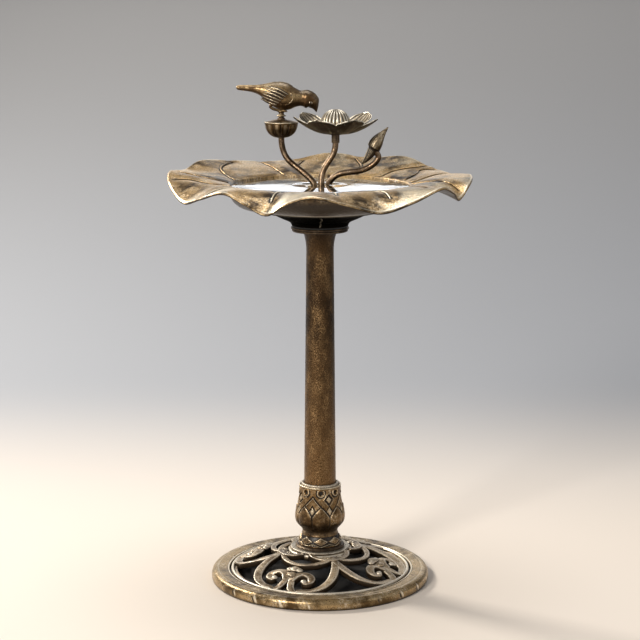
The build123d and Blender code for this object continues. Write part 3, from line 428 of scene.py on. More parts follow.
# Veins: (direction in degrees, share of the way from lip to margin).
VEINS = [
    [(245.5, 0.03), (247.5, 0.35), (249.5, 0.74)], [(278, 0.03), (277.5, 0.30), (277, 0.60)],
    [(305, 0.03), (303, 0.35), (300, 0.74)], [(331, 0.03), (325, 0.40), (320, 0.74)],
    [(199, 0.03), (194.5, 0.32), (184, 0.64), (184, 0.94)], [(213, 0.03), (214, 0.4), (219.5, 0.94)],
    [(159, 0.03), (152, 0.3), (142, 0.65), (128, 0.94)], [(176, 0.03), (174, 0.4), (168, 0.94)],
    [(114, 0.03), (114, 0.5), (114.5, 0.96)], [(101.5, 0.03), (101.5, 0.54), (97, 0.9)],
    [(66, 0.03), (68.5, 0.47), (75.5, 0.96)], [(48, 0.03), (48, 0.35), (44, 0.7), (42, 0.96)],
    [(21.5, 0.03), (31, 0.42), (38, 0.68), (36, 0.96)], [(6, 0.03), (17, 0.45), (23, 0.75), (24, 0.96)],
    [(356, 0.03), (353, 0.42), (346, 0.7), (341, 0.94)],
]


def margin_height(angle):
    """Height of the margin above the lip, smooth through MARGIN; angle in degrees, an array."""
    at, high = np.array(MARGIN, float).T
    at, high = np.concatenate([at - 360, at, at + 360]), np.tile(high, 3)
    slope = np.zeros_like(high)
    slope[1:-1] = (high[2:] - high[:-2]) / (at[2:] - at[:-2])
    i = np.searchsorted(at, np.mod(angle, 360), side="right") - 1
    span = at[i + 1] - at[i]
    u = (np.mod(angle, 360) - at[i]) / span
    ease = u * u * (3 - 2 * u)
    swing = span * u * (1 - u) * ((1 - u) * slope[i] - u * slope[i + 1])
    return (1 - ease) * high[i] + ease * high[i + 1] + swing


def leaf_point(share, angle):
    """Points of the leaf's upper face, in millimetres; share and angle (degrees) are arrays."""
    high = margin_height(angle)
    margin = LEAF_RADIUS + MARGIN_LEAN * high
    radius = BASIN_RADIUS + share * (margin - BASIN_RADIUS)
    z = LIP_Z + high * share**2.2 + LEAF_SWELL * np.sin(pi * share)
    return np.stack([radius * np.cos(np.radians(angle)), radius * np.sin(np.radians(angle)), z], -1)


def vein_distance(points, lines):
    """Distance in plan from points to the nearest of several polylines."""
    best = np.full(points.shape[:-1], 1e9)
    for line in lines:
        for a, b in zip(line[:-1], line[1:]):
            step = b - a
            t = np.clip(((points - a) @ step) / (step @ step), 0, 1)
            gap = np.linalg.norm(points - (a + t[..., None] * step), axis=-1)
            best = np.minimum(best, gap)
    return best


def leaf_lines():
    """The veins as curves on the leaf, in millimetres."""
    lines = []
    for vein in VEINS:
        fine = spline(np.array(vein, float) * (1, 100), 26) / (1, 100)
        lines.append(leaf_point(fine[:, 1], fine[:, 0]))
    return lines


def make_leaf_bowl():
    """Basin, wavy leaf with quilted fields between raised veins, and a rolled margin."""
    around = 900
    angle = np.linspace(0, 360, around, endpoint=False)
    lines = leaf_lines()
    shares = np.concatenate([np.linspace(0, 0.9, 40), np.linspace(0.92, 1, 7)])
    top = leaf_point(shares[:, None], angle[None, :])
    flat_lines = [line[::3, :2] for line in lines]
    gap = np.stack([vein_distance(row[:, :2], flat_lines) for row in top])
    fade = smooth_step(0.0, 0.10, shares)[:, None]
    ground = fade * (1.4 * smooth_step(2, 16, gap) - 1.1 * bell(gap, 0, 2.4))
    top[..., 2] += ground
    hollow = bell(gap, 0, 3.3) * fade
    # rubbed wear and painted highlight: a pale line along the top of the leaf's margin
    margin_wear_highlight = smooth_step(0.975, 0.995, shares)[:, None]
    lip_shadow = 0.22 * bell(shares, 0, 0.05)[:, None]
    slope = np.gradient(margin_height(angle), np.radians(angle))[None, :] / LEAF_RADIUS
    # painted light and shade: where the margin rises anticlockwise the leaf is lightened, where it falls it
    # is darkened
    painted_fold_shading = 0.38 * slope * smooth_step(0.25, 0.8, shares)[:, None]
    top_relief = 0.46 - 0.54 * hollow - lip_shadow + painted_fold_shading
    top_relief += 0.20 * smooth_step(5, 20, gap) + 0.20 * margin_wear_highlight
    roll = np.linspace(0.15 * pi, 0.9 * pi, 6)
    rim = leaf_point(np.ones((1, 1)), angle[None, :])
    outward = np.stack([np.cos(np.radians(angle)), np.sin(np.radians(angle)), np.zeros(around)], -1)
    half = LEAF_WALL / 2
    rolled = rim + outward[None] * (half * np.sin(roll))[:, None, None]
    rolled[..., 2] += half * (np.cos(roll) - 1)[:, None] + 0.5 * np.sin(roll)[:, None]
    under_shares = np.linspace(0.99, 0, 26)
    under = leaf_point(under_shares[:, None], angle[None, :])
    under_gap = np.stack([vein_distance(row[:, :2], flat_lines) for row in under])
    under_fade = smooth_step(0.0, 0.15, under_shares)[:, None]
    under[..., 2] -= LEAF_WALL + under_fade * (0.8 * smooth_step(2, 14, under_gap) - 0.8)
    wall = BASIN_RADIUS - LEAF_WALL / 2
    turn = np.linspace(0, pi / 2, 9)
    fillet = [(wall - FLOOR_CURVE * (1 - sin(t)), FLOOR_CURVE * (1 - cos(t))) for t in turn]
    outer_curve = FLOOR_CURVE + LEAF_WALL
    floor_z, bottom_z = leaf_low[2] + LEAF_WALL, leaf_low[2]
    inside = [(3.2, floor_z), (30, floor_z), (70, floor_z)] + [(r, floor_z + z) for r, z in fillet]
    inside = [(r, z, 0.5) for r, z in inside]
    # the basin's outside has relief 0.25, darkened as painted shade under the leaf
    outside = [
        (wall + LEAF_WALL - outer_curve * (1 - sin(t)), bottom_z + outer_curve * (1 - cos(t)), 0.25)
        for t in turn[::-1]
    ]
    outside += [(70, bottom_z, 0.25), (3.2, bottom_z, 0.25)]

    def turned(rows):
        radius, height, relief = np.repeat(np.array(rows).T[..., None], around, 2)
        return outward * radius[..., None] + np.array([0, 0, 1]) * height[..., None], relief

    inner_grid, inner_relief = turned(inside)
    outer_grid, outer_relief = turned(outside)
    grid = np.concatenate([inner_grid, top, rolled, under, outer_grid])
    # rolled margin: paler top rings as rubbed wear and painted highlight, darker lower rings as painted
    # shade under the lip
    roll_wear_highlight_shade = np.repeat(np.array([0.62, 0.53, 0.36, 0.30, 0.30, 0.32])[:, None], around, 1)
    # painted shade: the leaf's underside is darkened
    underside_shade_relief = np.full_like(under_gap, 0.27)
    relief = np.concatenate([inner_relief, top_relief, roll_wear_highlight_shade, underside_shade_relief, outer_relief])
    bowl = Shape()
    bowl.rings(grid, relief, loop=True)
    for line in lines:
        front = line[0, 1] < -0.5 * BASIN_RADIUS
        path = spline(line, 34)
        path[:, 2] += 0.15
        along = np.linspace(0, 1, len(path))
        thick = (1.35 - 0.35 * along) * (1 - 0.75 * smooth_step(0.86, 1, along))
        tube(bowl, path, thick, around=10, relief=0.90 if front else 0.58, flat=0.85)
    bowl.make("lotus_leaf_bowl", leaf_metal, "bowl", ["leaf_bowl"])


def make_water():
    """Still water that fills the basin almost to its lip."""
    level = LIP_Z - 1.2
    reach = BASIN_RADIUS - LEAF_WALL / 2 - 0.25
    floor_z = leaf_low[2] + LEAF_WALL + 0.25
    turn = np.linspace(0, pi / 2, 8)
    rows = [(4.6, floor_z, 0.5), (60, floor_z, 0.5)]
    curve = FLOOR_CURVE - 0.25
    rows += [(reach - curve * (1 - sin(t)), floor_z + curve * (1 - cos(t)), 0.5) for t in turn]
    rows += [(reach, level - 0.6, 0.5), (reach - 0.8, level, 0.5)]
    rows += [(r, level, 0.5) for r in (90, 40, 4.6)]
    disc = Shape()
    lathe(disc, rows)
    disc.make("basin_water", water_look, "bowl")


def make_bowl_foot():
    """Trumpet foot with a raised vein down its front."""
    low, high = edges_mm("bowl_foot")
    tall = high[2] - low[2]
    reach = high[0]
    flare = [(39.5, 0), (41.5, 0.16), (46, 0.28), (53, 0.40), (68, 0.68), (reach, 1 - 2 / tall)]
    flare = spline([(r, share * tall) for r, share in flare], 40)
    rows = [(15.05, low[2], 0.3), (38.5, low[2], 0.3), (39.5, low[2], 0.7)]
    rows += [(r, low[2] + z, 0.45) for r, z in flare[1:-3]]
    bead = [(-1.6, 4.4, 0.1), (1.2, 3.6, 1.0), (2.7, 2.0, 1.0), (1.9, 0.6, 1.0), (-0.4, 0.2, 0.4)]
    rows += [(reach + out, high[2] - down, value) for out, down, value in bead]
    rows += [(15.05, high[2] - 0.2, 0.3)]
    foot = Shape()
    lathe(foot, dense(rows, 3.0))
    outline = [(41.2, 1.0), (43.5, 4.8), (50.5, 8.6), (62, 13.5), (74, 18.6), (84, 22.2)]
    swing = [0.0, 1.6, 0.4, 2.4, 0.2, 2.0]
    path = [
        (r * sin(radians(a)), -r * cos(radians(a)), low[2] + z + 0.5) for (r, z), a in zip(outline, swing)
    ]
    tube(foot, spline(path, 40), 1.0, around=10, up=(0, -1, 0.6), relief=1.0)
    foot.make("trumpet_foot", foot_metal_painted_shade, "bowl", ["bowl_foot"])


make_leaf_bowl()
make_water()
make_bowl_foot()


# ---------------------------------------------------------------- base
_, rim_high = edges_mm("base_rim")
_, panel_high = edges_mm("scroll_panel")
BASE_RADIUS = rim_high[0]
RIM_TOP = rim_high[2]
PANEL_RADIUS = panel_high[0]
HUB_TOP = panel_high[2]
HUB_RADIUS = edges_mm("hub_ring")[1][0]
DOME_EDGE_Z = RIM_TOP - 2.0
DOME_CROWN = 4.0
BEAD = 3.0


def make_base_rim():
    """Cast ring: flat sloping top, rolled outer edge, fine groove lines, ledge inside."""
    inner = PANEL_RADIUS + 2.0
    shoulder = 8.5
    edge = BASE_RADIUS - shoulder
    rows = [(inner - 16.5, 2.6, 0.1), (inner - 16.5, 9, 0.1), (inner, 9, 0.02)]
    lip = [(0, 2.2, 0.25), (0.6, 0.9, 0.95), (1.9, 0.5, 1.0), (2.8, 1.5, 0.12), (3.8, 0.9, 0.55)]
    rows += [(inner + out, RIM_TOP - down, value) for out, down, value in lip + [(10, 0.35, 0.58)]]
    rows += [(edge - 3.4, RIM_TOP, 0.6), (edge - 2.4, RIM_TOP - 0.6, 0.3), (edge - 1.4, RIM_TOP, 0.75)]
    for t in np.linspace(0, pi / 2, 10):
        rows.append((edge + shoulder * sin(t), RIM_TOP - shoulder * (1 - cos(t)), 0.66 - 0.16 * sin(t)))
    rows += [(BASE_RADIUS, 3.2, 0.5), (BASE_RADIUS - 0.6, 1.2, 0.3), (BASE_RADIUS - 2, 0, 0.2)]
    rows += [(PANEL_RADIUS, 0, 0.2), (PANEL_RADIUS, 2.6, 0.1)]

    def scratches(angle, radius, height, relief):
        side = bell(height, 7, 5.0) * (radius > BASE_RADIUS - 6)
        spread = np.sin(angle * 11 + 0.6)
        mark = np.maximum(0, np.sin(angle * 37 + 0.10 * height) * spread) ** 7
        shadow = np.maximum(0, np.sin(angle * 37 + 0.10 * height + 0.8) * spread) ** 7
        return radius - 0.3 * side * shadow, height, relief + side * (1.1 * mark - 0.7 * shadow)

    rim = Shape()
    lathe(rim, dense(rows, 1.6), around=900, move=scratches)
    rim.make("cast_base_rim", rim_metal, "stand", ["base_rim"])


# The scrollwork's centrelines, as (distance, direction from the cell's centre), for a dome of this radius.
DRAWN_RADIUS = 128.5
PATTERN_TURN = 245.0
CELLS = 4
LYRE = [(50, 46), (58, 45.5), (70, 43), (86, 38.5), (101, 33), (113, 25.5), (119, 17), (120.5, 9)]
STALK = [(122.5, 6.5), (116, 4.2), (108, 3.0), (98, 2.4), (90, 2.6)]
VOLUTE = [(104, 2.0), (95, 5.0), (90.5, 10), (92.5, 15.2), (99.5, 18.2), (106, 17.0), (107.5, 13.6)]
VOLUTE += [(104.5, 12.4)]
OUTER_SWAG = [(52, 44), (60, 34), (66, 22), (70, 9), (71, 0), (70, -9), (66, -22), (60, -34), (52, -44)]
INNER_SWAG = [(44, 83), (52, 72), (57, 59), (58.5, 45), (57, 31), (52, 18), (44, 7)]
CURL = [(60, 14), (55, 17), (50.5, 14), (50, 8), (53, 5)]
BAR_SECTION = [
    (-0.5, -7, 0.0), (-0.5, -0.8, 0.12), (-0.485, 0.3, 0.62), (-0.44, 0.8, 0.86), (-0.36, 0.95, 0.74),
    (-0.15, 1.2, 0.60), (0.15, 1.2, 0.60), (0.36, 0.95, 0.74), (0.44, 0.8, 0.86), (0.485, 0.3, 0.62),
    (0.5, -0.8, 0.12), (0.5, -7, 0.0),
]


def dome_z(radius):
    """Height of the openwork's upper face."""
    edge = PANEL_RADIUS - 2 * BEAD
    t = np.clip((radius - HUB_RADIUS) / (edge - HUB_RADIUS), 0, 1.1)
    return HUB_TOP + (DOME_EDGE_Z - HUB_TOP) * t + 4 * DOME_CROWN * t * (1 - t)


def on_dome(points, turn, side=1, lift=0.0, count=48):
    """A smooth curve on the dome through (distance, direction) points."""
    scale = PANEL_RADIUS / DRAWN_RADIUS
    polar = [(r * scale, radians(turn + side * a)) for r, a in points]
    path = spline([(r * cos(a), r * sin(a)) for r, a in polar], count)
    return np.column_stack([path, dome_z(np.hypot(path[:, 0], path[:, 1])) + lift])


def taper(count, start, middle, end):
    """Widths along a bar that swell in the middle."""
    t = np.linspace(0, 1, count)
    return start * (1 - t) ** 2 + 2 * middle * t * (1 - t) + end * t**2


def make_scroll_panel():
    """Openwork dome of lyres, volutes and swags between a beaded ring and the hub."""
    panel = Shape()
    edge_z = DOME_EDGE_Z
    ring = [(PANEL_RADIUS - 0.3, 9.0, 0.0), (PANEL_RADIUS - 0.3, edge_z - 0.6, 0.2)]
    ring += [
        (PANEL_RADIUS - 2.6 + 2.2 * cos(t), edge_z + 0.2 + 2.4 * sin(t), 0.6 + 0.4 * max(0, sin(t)))
        for t in np.linspace(-0.2 * pi, 1.15 * pi, 12)
    ]
    step = [(5.6, -1.6, 0.02), (6.4, -0.5, 0.75), (8.6, 0.1, 0.62), (9.4, -0.4, 0.9), (9.8, -2, 0.05)]
    ring += [(PANEL_RADIUS - inward, edge_z + up, value) for inward, up, value in step]
    ring += [(PANEL_RADIUS - 11, 9.0, 0.0)]
    lathe(panel, ring, around=360)
    hub = [(4.4, HUB_TOP - 7, 0), (4.4, HUB_TOP - 0.1, 0.3)]
    edge = [(0.5, 0.1, 0.3), (3.2, 0.7, 0.9), (4.2, 2.2, 0.8), (4.2, 8, 0)]
    hub += [(HUB_RADIUS + out, HUB_TOP - down, value) for out, down, value in edge]
    lathe(panel, hub)
    for cell in range(CELLS):
        turn = PATTERN_TURN + cell * 360 / CELLS
        bar(panel, on_dome(OUTER_SWAG, turn, lift=0.9, count=70), 7.6)
        bar(panel, on_dome(INNER_SWAG, turn, lift=1.6, count=70), 7.2)
        for side in (1, -1):
            bar(panel, on_dome(LYRE, turn, side, lift=0.5, count=70), taper(70, 9.5, 15.0, 9.5))
            bar(panel, on_dome(STALK, turn, side, lift=0.7), taper(48, 10.5, 10.0, 8.0))
            bar(panel, on_dome(VOLUTE, turn, side, lift=1.4, count=60), taper(60, 11.0, 16.0, 6.0))
            bar(panel, on_dome(CURL, turn + 45 * side, -side, lift=0.4, count=40), taper(40, 3.5, 6.2, 3.6))
            tip = on_dome(VOLUTE[-2:], turn, side, lift=1.2, count=2)[1]
            ball(panel, tip, (4.4, 4.4, 2.8), 0.85)
            lobe = on_dome([(84, 5.0), (83, 5.2)], turn, side, lift=1.0, count=2)[0]
            ball(panel, lobe, (5.0, 5.0, 3.0), 0.78)
        crown = on_dome([(82.5, 0), (81, 0)], turn, lift=1.2, count=2)[0]
        ball(panel, crown, (7.4, 7.4, 3.4), 0.72)
        heart = on_dome([(93, 0), (92, 0)], turn, lift=0.9, count=2)[0]
        ball(panel, heart, (7.5, 7.5, 3.0), 0.62)
    panel.make("openwork_dome", scroll_metal, "stand", ["scroll_panel"])


def make_hub_saucer():
    """Pale disc under the collar: a shallow dish with a thick rounded rim."""
    low, high = edges_mm("hub_ring")
    edge = high[0]
    thick = high[2] - low[2]
    rows = [(4.4, low[2], 0.1), (edge - 3, low[2], 0.1), (edge - 1, low[2] + 0.3, 0.3)]
    for t in np.linspace(0.3, pi, 9):
        rows.append((edge + 0.9 - 1.4 * (1 - sin(t)), low[2] + 0.5 * thick * (1 - cos(t)), 0.9))
    rows += [(edge - 2.4, high[2] - 0.5, 0.72), (edge - 4.2, high[2] - 1.1, 0.46)]
    rows += [(30.5, high[2] - 0.4, 0.40), (4.4, high[2], 0.2)]
    saucer = Shape()
    lathe(saucer, rows)
    saucer.make("hub_saucer", hub_metal, "stand", ["hub_ring"])


make_base_rim()
make_scroll_panel()
make_hub_saucer()


# ---------------------------------------------------------------- collar
collar_low, collar_high = edges_mm("collar")
COLLAR_Z = collar_low[2]
COLLAR_HEIGHT = collar_high[2] - COLLAR_Z
SOCKET_RADIUS = 23.15
# Outer profile, as in the design: radius and share of the height.
COLLAR_PROFILE = [
    (30.2, 0.0), (30.0, 0.06), (28.6, 0.12), (26.2, 0.18), (25.2, 0.225), (26.2, 0.265), (29.8, 0.315),
    (33.3, 0.385), (34.4, 0.47), (33.6, 0.56), (31.6, 0.70), (29.7, 0.85), (28.9, 1.0),
]
PETALS = 8
PETAL_TURN = radians(272.6)


def line_gap(x, z, start, end):
    """Distance from points (x, z) to a straight line piece."""
    start, end = np.array(start, float), np.array(end, float)
    step = end - start
    t = np.clip(((x - start[0]) * step[0] + (z - start[1]) * step[1]) / (step @ step), 0, 1)
    return np.hypot(x - start[0] - t * step[0], z - start[1] - t * step[1])


def collar_relief(angle, radius, height):
    """How far the collar's skin stands out, and its relief value."""
    z = height - COLLAR_Z
    pitch = tau / PETALS
    offset = np.mod(angle - PETAL_TURN + pitch / 2, pitch) - pitch / 2
    x = offset * 31.0
    half = 31.0 * pitch / 2
    valley = half - np.abs(x)
    second = np.mod(np.floor((angle - PETAL_TURN) / pitch), 2)
    out = np.zeros_like(radius)
    relief = np.full_like(radius, 0.5)

    def lay(mask, lift, value):
        nonlocal out, relief
        out = out * (1 - mask) + lift * mask
        relief = relief * (1 - mask) + value * mask

    def groove(gap, half_width, depth):
        lay(1 - smooth_step(half_width * 0.7, half_width * 1.5, gap), -depth, 0.0)

    # over every petal a pierced loop; between petals, in turn, a second pointed petal or crossing ribbons
    gap = np.hypot(x, z - 80.5)
    lay(1 - smooth_step(5.6, 6.2, gap), 0.6, 0.60)
    lay(bell(gap, 5.4, 0.6) * (z < 84.5), 0.8, 0.92)
    groove(np.abs(gap - 7.0) + 9 * (z > 84.0), 0.7, 0.9)
    lay(1 - smooth_step(2.9, 3.4, gap), -2.6, 0.0)
    ribbon = 1 - second
    lay(ribbon * (1 - smooth_step(0.94, 1.02, valley / 7.4 + np.abs(z - 70.5) / 8.6)), -1.7, 0.0)
    stud = valley / 4.6 + np.abs(z - 70.5) / 5.4
    lay(ribbon * (1 - smooth_step(0.9, 1.0, stud)), 0.9 - 1.2 * stud, 0.88 - 0.15 * stud)
    rim = valley / 8.6 + np.abs(z - 70.5) / 10.0
    lay(ribbon * bell(rim, 1.0, 0.05) * (z < 83), 0.5, 0.86)
    tip_line = line_gap(valley, z, (0, 75.2), (half, 61.4))
    groove(tip_line + 9 * ribbon, 0.8, 1.2)
    lay(second * bell(tip_line, 1.5, 0.6) * (z < 75 - 1.13 * valley), 0.5, 0.84)
    groove(line_gap(valley, z, (half, 61.4), (3.0, 51.4)) + 9 * second, 0.8, 1.2)
    stud = valley / 3.9 + np.abs(z - 54.4) / 6.6
    lay(1 - smooth_step(1.25, 1.40, stud), -1.5, 0.0)
    lay(1 - smooth_step(0.9, 1.02, stud), 0.9 - 1.1 * stud, 0.90 - 0.2 * stud)
    # lotus petals, pointed upwards
    reach = half * np.clip((59.8 - z) / 15.0, 0, 1) ** 0.68
    inside = reach - np.abs(x)
    petal = smooth_step(0.0, 0.5, inside) * (z < 59.8)
    crown = 1.5 * np.clip(1 - (np.abs(x) / np.maximum(reach, 0.1)) ** 2, 0, 1)
    below = smooth_step(22, 30, z)
    lay(petal * below, crown * smooth_step(24, 34, z), 0.50 + 0.12 * smooth_step(0.3, 1.0, crown / 1.5))
    edge = bell(inside, 0.9, 0.6) * (z < 59.6) * smooth_step(36, 44, z)
    lay(edge, 0.6, 0.86)
    seam = bell(inside, -0.5, 0.7) * (z < 62) * smooth_step(24, 36, z)
    lay(seam, -1.3, 0.0)
    lay(bell(valley, 0, 0.8) * (z < 46.5) * smooth_step(25, 33, z), -1.4, 0.0)
    # waist in shade
    lay(bell(z, 20, 5.5), 0, 0.26)
    # lower band of lozenges with a zigzag under it
    zig = np.abs(x) / half
    stone = zig + np.abs(z - 8.6) / 6.0
    band = smooth_step(1.5, 2.2, z) * (1 - smooth_step(14.4, 15.4, z))
    lay(band, -0.9, 0.12)
    lay((1 - smooth_step(0.80, 0.90, stone)) * band, 1.3 - 1.1 * stone, 0.66)
    lay(bell(stone, 0.84, 0.07) * band, 0.5, 0.90)
    zag = np.abs(z - (1.6 + 3.2 * zig))
    lay(bell(zag, 0, 0.65) * (z < 6.5), 0.9, 0.97)
    return out, relief


def make_collar():
    """Vase-shaped collar with lotus petals, interlaced bands and lozenges."""
    count = 250
    outline = spline([(r, share * COLLAR_HEIGHT) for r, share in COLLAR_PROFILE], count)
    rows = [(r, COLLAR_Z + z, 0.5) for r, z in outline]
    top = COLLAR_Z + COLLAR_HEIGHT

    def carve(angle, radius, height, relief):
        out, value = collar_relief(np.broadcast_to(angle, radius.shape), radius, height)
        skin = np.zeros_like(radius)
        skin[: len(rows)] = 1
        return radius + out * skin, height, np.where(skin > 0, value, relief)

    lip = [(29.3, top - 1.6, 0.95), (30.0, top - 0.6, 1.0), (29.6, top + 0.4, 1.0), (28.4, top + 0.7, 0.95)]
    lip += [(27.6, top + 0.1, 0.2), (27.2, top - 1.8, 0.0), (24.6, top - 1.8, 0.0)]
    lip += [(24.4, top, 0.1), (SOCKET_RADIUS, top, 0.1)]
    bore = [(SOCKET_RADIUS, 30), (4.3, 30), (4.3, 20), (19, 20), (19, 0)]
    inner = [(r, COLLAR_Z + z, 0) for r, z in bore]
    collar = Shape()
    lathe(collar, rows + lip + inner, around=720, move=carve)
    collar.make("lotus_collar", collar_metal, "stand", ["collar"])


make_collar()

# ---------------------------------------------------------------- seed pod
pod_low, pod_high = edges_mm("seed_pod")
POD_X, POD_Y = (pod_low[:2] + pod_high[:2]) / 2
POD_RADIUS = (pod_high[0] - pod_low[0]) / 2
POD_RIM_Z = pod_high[2] - 4.0
POD_FLUTES = 12


def make_seed_pod():
    """Fluted pod: a rounded bowl, a rolled rim, and a low domed top."""
    tall = POD_RIM_Z - pod_low[2]
    belly = [(5.4, 0), (11.5, 1.6), (17.8, 0.27 * tall), (21.6, 0.55 * tall), (23.3, 0.88 * tall)]
    belly = spline(belly + [(POD_RADIUS - 0.2, tall - 1.6)], 60)
    rows = [(4.4, pod_low[2], 0.2)] + [(r, pod_low[2] + z, 0.5) for r, z in belly]
    rim = [(0.4, -0.8, 0.78), (0, 0.3, 0.88), (-1.6, 0.1, 0.6), (-2.8, -0.5, 0.12)]
    rows += [(POD_RADIUS + out, POD_RIM_Z + up, value) for out, up, value in rim]
    dome = [(18, 1.0, 0.42), (11, 3.0, 0.46), (6.5, 3.9, 0.35), (2.4, 4.0, 0.3), (2.4, -2, 0.1)]
    rows += [(r, POD_RIM_Z + up, value) for r, up, value in dome + [(4.4, -8, 0.1)]]

    def flutes(angle, radius, height, relief):
        along = smooth_step(pod_low[2] + 1, pod_low[2] + 7, height)
        outside = along * (1 - smooth_step(POD_RIM_Z - 3.4, POD_RIM_Z - 1.5, height)) * (radius > 12)
        wave = np.abs(np.sin(angle * POD_FLUTES / 2))
        cut = bell(wave, 0, 0.16)
        scallop = (np.abs(height - POD_RIM_Z) < 1.4) * (radius > POD_RADIUS - 2)
        height = height - 1.2 * scallop * cut
        relief = relief - outside * (0.62 * cut - 0.30 * smooth_step(0.55, 1, wave))
        return radius - outside * 2.1 * cut, height, relief

    pod = Shape()
    lathe(pod, dense(rows, 0.9), around=300, centre=(POD_X, POD_Y), move=flutes)
    pod.make("lotus_seed_pod", collar_metal, "bowl", ["seed_pod"])


make_seed_pod()


# ---------------------------------------------------------------- bird
PERCH_Z = edges_mm("bird")[0][2]
# The bird's middle line, from tail to beak, seen from the side: distance ahead of the peg, height above
# the perch, half height and half width.
BIRD_LINE = [
    (-62.4, 34.6, 1.5, 3.2), (-60.4, 34.5, 3.0, 4.4), (-50, 34.0, 4.0, 5.6), (-38, 32.8, 5.2, 6.9),
    (-29, 30.8, 8.0, 9.2), (-19, 27.0, 13.6, 12.6), (-9, 24.6, 17.8, 15.2), (1, 23.0, 19.6, 16.2),
    (11, 21.9, 18.2, 15.4),
    (20, 20.6, 13.2, 12.6), (27.5, 19.6, 10.9, 10.6), (36.0, 18.6, 12.6, 12.0), (42.8, 14.6, 11.4, 10.6),
    (46.4, 9.2, 6.6, 6.6), (48.2, 4.6, 2.9, 2.7), (48.9, 0.6, 0.7, 0.7),
]
EYE = (41.0, 13.6)
WING_FEATHERS = 6
# A leg's middle line: ahead of the peg, out from the middle, above the perch.
LEG = [(-6, 5.0, 15), (-12.5, 6.4, 12), (-15.4, 6.6, 8.6), (-12, 5.8, 5.2), (-5, 4.0, 3.0), (0.5, 3.0, 2.2)]
TOE = 8.6


def bird_skin():
    """Fine version of the bird's middle line."""
    return spline(BIRD_LINE, 110)


def flank(line, ahead, high):
    """Half width of the body at a side-view point."""
    i = np.argmin(np.abs(line[:75, 0] - ahead))
    _, middle, tall, wide = line[i]
    return wide * np.sqrt(max(0.05, 1 - ((high - middle) / tall) ** 2))


